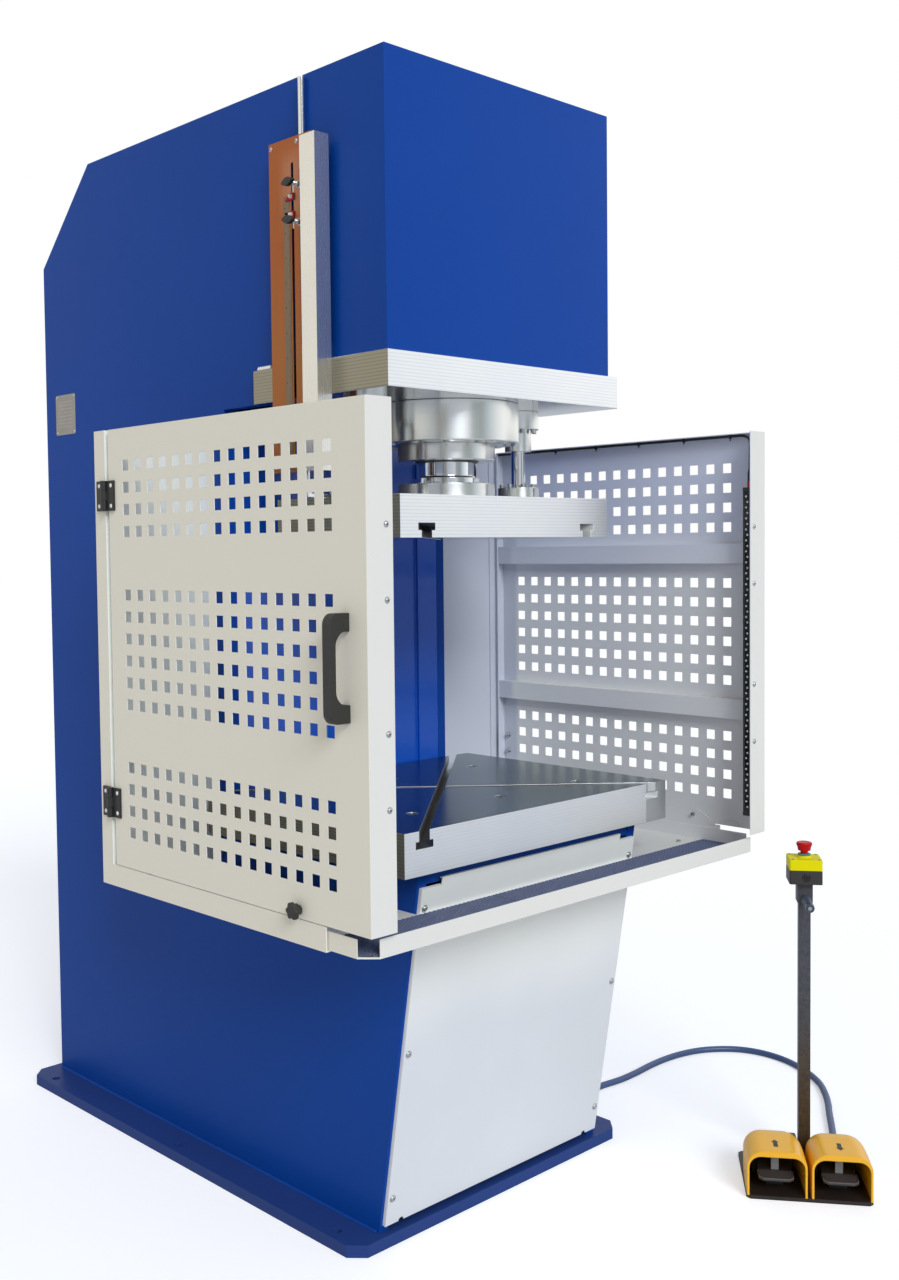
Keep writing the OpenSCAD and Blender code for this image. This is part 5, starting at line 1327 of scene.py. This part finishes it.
def make_hood(name, x):
    """One hood: an inner shell, a lip that rolls inwards to a thicker rim, and an outer shell."""
    wall = 3.4
    outside = [
        0, 1.5, 3, 5, 8, 12, 20, 30, 42, 54, 66, 78, 92, 105, 116, 126, 134, 140, 146, 151, 155, 159,
        162, 164, 165,
    ]
    inside = [161.5, 158, 152, 144, 134, 122, 105, 85, 60, 35, 16, 9, 5]
    rim = [(4.0, 1.0), (0.9, 1.0), (0.15, 0.92), (0.15, 0.5), (0.0, 0.0)]
    edge, mouth = hood_ring(0, 0), mouth_ring()
    rings = [hood_ring(y, wall) for y in inside]
    for y, share in rim:
        rings.append([
            (a[0] + (b[0] - a[0]) * share, y, a[2] + (b[2] - a[2]) * share) for a, b in zip(edge, mouth)
        ])
    rings += [hood_ring(y, 0) for y in outside]
    solid = bmesh.new()
    grid = [[solid.verts.new(p) for p in ring] for ring in rings]
    for a, b in zip(grid, grid[1:]):
        for i in range(len(a) - 1):
            solid.faces.new((a[i], a[i + 1], b[i + 1], b[i]))
    # Rear walls, outside and inside, and the feet between the two shells
    solid.faces.new(grid[-1][::-1])
    solid.faces.new(grid[0])
    solid.faces.new([ring[0] for ring in grid][::-1])
    solid.faces.new([ring[-1] for ring in grid])
    bmesh.ops.remove_doubles(solid, verts=solid.verts, dist=0.01)
    hood = Shape(STAND @ at(x)).add(solid)
    hood.piece(name, "frame", "hood_plastic", "yellow_plastic", ["pedal_hoods"], 50)


def arrow_outline(way):
    """A generic arrow, its tip at +Y where way is 1."""
    half = [(4.6, -17), (4.6, 5), (8.2, 5), (0, 17)]
    points = half + [(-px, py) for px, py in half[-2::-1]]
    return [(px * way, py * way) for px, py in points]


def make_pedals():
    """Hoods with their arrows, sloped treadles with their arms and bars, hubs and switch housings."""
    pedal_z, pedal_y, arm_x = 48, 118, 34.6
    tilt = math.atan((54.5 - 40) / (108 - 14))
    outline = [(-27, -1.5), (27, -1.5), (36, 5), (37.5, 34), (-37.5, 34), (-36, 5)]
    edge = [
        (-27, -1.5), (27, -1.5), (36, 5), (36.4, 12), (34.6, 12), (34, 6), (26.4, 0.8), (-26.4, 0.8),
        (-34, 6), (-34.6, 12), (-36.4, 12), (-36, 5),
    ]
    for side, x, way in (("left", -HOOD_X, 1), ("right", HOOD_X, -1)):
        node, place = side + "_pedal", STAND @ at(x)
        make_hood(side + "_hood", x)
        mark = Shape(STAND @ at(x, 44, hood_section(44, 0)[1] - 0.25))
        mark.prism(arrow_outline(way), 0.0, 0.6, None, 0.12, 1)
        mark.piece(side + "_hood_arrow", "frame", "arrow_mark", "black_plastic")
        lie = STAND @ at(x, 14, 40) @ Matrix.Rotation(tilt, 4, "X")
        tread, arm, lip, bar = (Shape(lie) for _ in range(4))
        tread.prism(outline, -6, -0.8, None, 1.2, 3)
        for k in range(5):
            half = 28.5 + 1.2 * k
            tread.box((-half, 5 + 6 * k, -1.2), (half, 7.6 + 6 * k, 0.1), 0.45, 2)
        lip.prism(edge, -1.2, 0.8, None, 0.5, 2)
        lip.piece(node + "_lip", node, "tread_edge", "dark_steel")
        tread.piece(node + "_tread", node, "tread_grey", "dark_steel", [node])
        arm.prism([(-arm_x, 33), (arm_x, 33), (arm_x, 104), (-arm_x, 104)], -6, -2.2, None, 1.0, 2)
        arm.box((-arm_x, 88, -14), (arm_x, 104, -4), 1.0, 2)
        arm.piece(node + "_arm", node, "black_plastic", "dark_steel")
        bar.box((-8, 37, -3), (8, 42.5, 34), 1.0, 2)
        bar.piece(node + "_bar", node, "lever_grey", "dark_steel")
        hub, box = Shape(place), Shape(place)
        hub.drum(9, -arm_x, arm_x, at(0, pedal_y, pedal_z, "x"), 1.0, 40, 5.3)
        hub.piece(node + "_hub", node, "tread_grey", "dark_steel")
        box.box((-48, 128.5, PLATE_T), (48, 146, 66), 2.0, 3)
        box.box((-48, 104, 64), (48, 130, 82), 2.0, 3)
        box.piece(side + "_housing", "frame", "black_plastic", "black_plastic")
    refine("pedal_switches", "black_plastic", 0.8, 2)


def make_stand():
    """The stand's plate and post with its grip, weld beads, cable entry box and screws."""
    refine("pedal_base", "base_black", 1.0, 2)
    refine("pedal_post", "post_paint", 0.9, 3)
    x, y = POST
    h, top = POST_W / 2, corners("pedal_post")[1].z
    front = STAND @ at(x, y - h - 4, top - 36, "y")
    grip, screw = Shape(front), Shape(front)
    profile = [
        (9.0, 0.3), (9.8, 1.5), (9.8, GRIP - 4), (9.0, GRIP + 0.5), (6.4, GRIP + 0.7), (6.0, GRIP + 0.2),
        (0, GRIP + 0.2),
    ]
    grip.lathe(soften(profile, 0.8, 3), None, 40)
    for z in (9 + 5 * k for k in range(13)):
        rib = [(9.6, z - 1.4), (10.2, z - 0.7), (10.2, z + 0.7), (9.6, z + 1.4)]
        grip.lathe(soften(rib, 0.3), None, 40)
    grip.piece("post_grip", "frame", "grip_rubber", "black_plastic")
    cap_screw(screw, at(z=GRIP), 4.2, 1.6)
    screw.piece("post_grip_screw", "frame", "steel_screw", "zinc")
    weld, entry, screws = (Shape(STAND) for _ in range(3))
    feet = [(x - h, y - h), (x + h, y - h), (x + h, y + h), (x - h, y + h)]
    # Round the post's foot, then along the sleeve's joint on three sides
    for sides, z, r, pitch in (((0, 1, 2, 3), PLATE_T, 2.6, 4), ((0, 1, 3), 372, 0.7, 3)):
        for k in sides:
            bead(weld, (*feet[k], z), (*feet[(k + 1) % 4], z), r, pitch)
    weld.piece("post_welds", "frame", "post_paint", "post_paint")
    entry.box((-34, 168, PLATE_T), (-5, 204, 62), 3.0, 3)
    entry.box((-35.5, 166.8, 48), (-4, 205.4, 51), 0.8, 2)
    entry.piece("cable_entry_box", "frame", "black_plastic", "black_plastic")
    for s in (-1, 1):
        cap_screw(screws, at(s * 121, 8, PLATE_T - 0.2), 3.5, 2.4)
    screws.piece("stand_screws", "frame", "dark_steel", "dark_steel")


def make_stop_box():
    """The stop box on the post: base, knockout, lid with its collar, a ring whose dark teal is painted shade,
    screws and button.
    """
    base_low, base_top = (corner.z for corner in corners("stop_box_base"))
    place = STAND @ at(*POST)
    w = 35
    outline, step = (
        soften([(-v, -v), (v, -v), (v, v), (-v, v)], r, 5, True) for v, r in ((w, 4.5), (w - 1, 4))
    )
    base, lid, ring, screws, button = (Shape(place) for _ in range(5))
    base.prism(outline, base_low, base_top - 0.6, None, 1.0, 3)
    base.prism(step, base_top - 1.0, base_top + 0.4, None, 0.1, 1)
    base.piece("stop_box_base_fine", "frame", "box_black", "black_plastic", ["stop_box_base"])
    knockout = Shape(place @ at(0, -w, (base_low + base_top) / 2, "y"))
    knockout.lathe(soften([(6.8, -0.2), (7.0, 0.8), (8.6, 0.8), (9.2, -0.2)], 0.2), None, 48)
    knockout.lathe(soften([(0, 0.25), (5.4, 0.25), (5.6, -0.2)], 0.1), None, 48)
    knockout.piece("stop_box_knockout", "frame", "window_black", "black_plastic")
    top = base_top + 24
    lid.prism(outline, base_top + 0.4, top, None, 1.6, 4)
    collar = [(8.4, top - 1.5), (15.2, top - 1.5), (14.6, top + 2.2), (14.0, top + 4.4), (8.4, top + 4.4)]
    lid.lathe(soften(collar, 0.6, 2, True), None, 48, True)
    lid.piece("stop_box_lid_fine", "frame", "lemon_plastic", "lemon_plastic", ["stop_box_lid"])
    # The ring under the button: its dark teal is painted shade
    band = [(8.4, top + 4.4), (13.6, top + 4.4), (13.6, top + 8.6), (8.4, top + 8.6)]
    ring.lathe(soften(band, 0.6, 2, True), None, 48, True)
    ring.piece("stop_button_ring", "frame", "ring_teal_painted_shade", "black_plastic")
    for sx in (-1, 1):
        for sy in (-1, 1):
            head = soften([(0, 0.9), (2.0, 0.9), (3.0, 0.2), (3.1, -0.5)], 0.3)
            screws.lathe(head, at(sx * 28, sy * 28, top), 20)
    screws.piece("stop_box_screws", "frame", "dark_steel", "zinc")
    z, r = corners("stop_button")[1].z, 17
    profile = [
        (0, z - 1.2), (8, z - 1.0), (11.5, z - 0.1), (r - 1.6, z - 0.6), (r, z - 2.8), (r, z - 5.8),
        (r - 0.8, z - 8), (r - 2.2, z - 10.5), (r - 3.6, z - 18.6), (12.2, z - 18.9), (0, z - 18.9),
    ]
    button.lathe(soften(profile, 1.0, 3), None, 72)
    button.drum(8, top - 6, z - 18, None, 0.4, 32)
    button.piece("stop_button_fine", "stop_button", "red_plastic", "red_plastic", ["stop_button"])


def make_glands():
    """Ribbed nuts where the foot cable enters the frame and the pedal stand."""
    start, end = Vector(CABLE[0]) / MM, Vector(CABLE[-1]) / MM
    side = corners("frame_side_right")[1].x
    place = at(side, start.y, start.z, "x")
    bore, reach, ribs = CABLE_R / MM + 0.2, start.x - side, 14
    shape = Shape()
    shape.drum(15.4, 0, 8.6, place, 0.9, 6, bore)
    profile = [(bore, 8.4), (11.6, 8.4), (11.6, reach - 4), (10.2, reach), (bore, reach)]
    shape.lathe(soften(profile, 0.8, 3, True), place, 36, True)
    for k in range(ribs):
        turn = Matrix.Rotation(2 * math.pi * k / ribs, 4, "Z")
        shape.box((11.0, -0.7, 9.0), (12.0, 0.7, reach - 5), 0.3, 1, place @ turn)
    back = Matrix.Translation(end) @ Matrix.Rotation(STAND_TURN, 4, "Z") @ AXES["y"]
    behind = Vector((STAND_AT[0] - end.x, end.y - STAND_AT[1]))
    depth = behind.x * math.sin(STAND_TURN) + behind.y * math.cos(STAND_TURN) - HOOD_L
    profile = [
        (bore, 0), (10.8, 0.6), (10.9, depth - 8.2), (12.4, depth - 8), (12.4, depth + 3),
        (bore, depth + 3),
    ]
    shape.lathe(soften(profile, 0.7, 3, True), back, 36, True)
    shape.piece("cable_glands_fine", "frame", "black_plastic", "black_plastic", ["cable_glands"])


make_pedals()
make_stand()
make_stop_box()
make_glands()

# ---------------------------------------------------------------- studio


def make_floor():
    """A wide pale floor: plain white to the camera, with the shadows kept."""
    mesh = bpy.data.meshes.new("studio_floor")
    r = 60
    mesh.from_pydata([(-r, -r, 0), (r, -r, 0), (r, r, 0), (-r, r, 0)], [], [(0, 1, 2, 3)])
    floor = bpy.data.objects.new("studio_floor", mesh)
    bpy.context.scene.collection.objects.link(floor)
    material = bpy.data.materials.new("floor")
    material.use_nodes = True
    tree = material.node_tree
    tree.nodes.clear()
    output = tree.nodes.new("ShaderNodeOutputMaterial")
    diffuse = tree.nodes.new("ShaderNodeBsdfDiffuse")
    diffuse.inputs["Color"].default_value = (0.8, 0.8, 0.8, 1)
    glow = tree.nodes.new("ShaderNodeEmission")
    glow.inputs["Strength"].default_value = 0.42
    add = tree.nodes.new("ShaderNodeAddShader")
    seen = tree.nodes.new("ShaderNodeMixShader")
    path = tree.nodes.new("ShaderNodeLightPath")
    shown = tree.nodes.new("ShaderNodeMath")
    shown.operation = "MAXIMUM"
    link = tree.links.new
    link(path.outputs["Is Camera Ray"], shown.inputs[0])
    link(path.outputs["Is Transmission Ray"], shown.inputs[1])
    link(diffuse.outputs[0], add.inputs[0])
    link(glow.outputs[0], add.inputs[1])
    link(shown.outputs[0], seen.inputs[0])
    link(diffuse.outputs[0], seen.inputs[1])
    link(add.outputs[0], seen.inputs[2])
    link(seen.outputs[0], output.inputs[0])
    mesh.materials.append(material)


def fill_ramp(ramp, panels):
    """Degrees round from straight ahead of the press, and the light's colour there."""
    held = ramp.color_ramp.elements
    while len(held) < len(panels):
        held.new(0.5)
    for element, (degrees, colour) in zip(held, panels):
        element.position = (degrees + 180) / 360
        element.color = (*colour, 1)


def make_world():
    """White behind, an even fill, and soft upright panels that metal reflects."""
    world = bpy.data.worlds.new("studio")
    bpy.context.scene.world = world
    world.use_nodes = True
    tree = world.node_tree
    tree.nodes.clear()
    link = tree.links.new

    def node(kind, *values):
        made = tree.nodes.new(kind)
        for socket, value in zip(made.inputs, values):
            if value is None:
                continue
            if isinstance(value, bpy.types.NodeSocket):
                link(value, socket)
            else:
                socket.default_value = value
        return made

    ray = tree.nodes.new("ShaderNodeTexCoord").outputs["Generated"]
    apart = node("ShaderNodeSeparateXYZ", ray)
    behind = node("ShaderNodeMath", apart.outputs[1], -1.0)
    behind.operation = "MULTIPLY"
    turn = node("ShaderNodeMath", apart.outputs[0], behind.outputs[0])
    turn.operation = "ARCTAN2"
    share = node("ShaderNodeMapRange", turn.outputs[0])
    share.inputs["From Min"].default_value, share.inputs["From Max"].default_value = -math.pi, math.pi
    ramp = tree.nodes.new("ShaderNodeValToRGB")
    link(share.outputs[0], ramp.inputs[0])
    # What bare metal mirrors. Most rows follow colours that were read off the gland, ring and rod in the
    # photograph.
    fill_ramp(ramp, [
        (-180, (0.50, 0.50, 0.51)), (-156, (0.55, 0.54, 0.50)), (-150, (0.74, 0.73, 0.68)),
        (-94, (0.80, 0.79, 0.74)), (-80, (0.80, 0.80, 0.76)), (-62, (0.55, 0.55, 0.51)),
        (-56, (0.27, 0.27, 0.24)), (-46, (0.24, 0.24, 0.21)), (-41, (0.40, 0.43, 0.48)),
        (-24, (0.50, 0.54, 0.61)), (-10, (0.58, 0.59, 0.63)), (-3, (0.30, 0.33, 0.33)),
        (13, (0.25, 0.29, 0.30)), (24, (0.46, 0.52, 0.57)), (36, (0.70, 0.74, 0.78)),
        (46, (0.86, 0.88, 0.90)),
        (58, (1.0, 1.0, 1.0)), (100, (0.95, 0.95, 0.93)), (134, (0.62, 0.62, 0.59)), (160, (0.5, 0.5, 0.5)),
    ])
    around = tree.nodes.new("ShaderNodeValToRGB")
    link(share.outputs[0], around.inputs[0])
    fill_ramp(around, [
        (-180, (0.40, 0.43, 0.50)), (-90, (0.58, 0.50, 0.38)), (0, (0.42, 0.45, 0.49)),
        (90, (0.45, 0.47, 0.52)), (180, (0.40, 0.43, 0.50)),
    ])
    upward = node("ShaderNodeMapRange", apart.outputs[2])
    upward.inputs["From Min"].default_value, upward.inputs["From Max"].default_value = 0.5, 1.0
    overhead = tree.nodes.new("ShaderNodeMix")
    overhead.data_type = "RGBA"
    link(upward.outputs[0], overhead.inputs[0])
    link(around.outputs[0], overhead.inputs[6])
    overhead.inputs[7].default_value = (0.36, 0.42, 0.55, 1)
    path = tree.nodes.new("ShaderNodeLightPath")
    fill = node("ShaderNodeBackground", overhead.outputs[2], 1.0)
    shine = node("ShaderNodeBackground", ramp.outputs[0], 1.2)
    white = node("ShaderNodeBackground", (1, 1, 1, 1), 1.0)
    clear = node("ShaderNodeMath", path.outputs["Is Camera Ray"], path.outputs["Is Transmission Ray"])
    clear.operation = "MAXIMUM"
    glossy = node("ShaderNodeMixShader", path.outputs["Is Glossy Ray"], fill.outputs[0], shine.outputs[0])
    seen = node("ShaderNodeMixShader", clear.outputs[0], glossy.outputs[0], white.outputs[0])
    output = tree.nodes.new("ShaderNodeOutputWorld")
    link(seen.outputs[0], output.inputs[0])


def make_sun(name, source, strength, angle, colour):
    data = bpy.data.lights.new(name, "SUN")
    data.energy, data.angle, data.color = strength, math.radians(angle), colour
    lamp = bpy.data.objects.new(name, data)
    lamp.rotation_mode = "QUATERNION"
    lamp.rotation_quaternion = Vector(source).to_track_quat("Z", "Y")
    bpy.context.scene.collection.objects.link(lamp)


make_floor()
make_world()
make_sun("front_softbox", (-0.35, -0.85, 0.6), 1.95, 25, (0.92, 0.96, 1.0))
bpy.context.scene.view_settings.view_transform = "Standard"
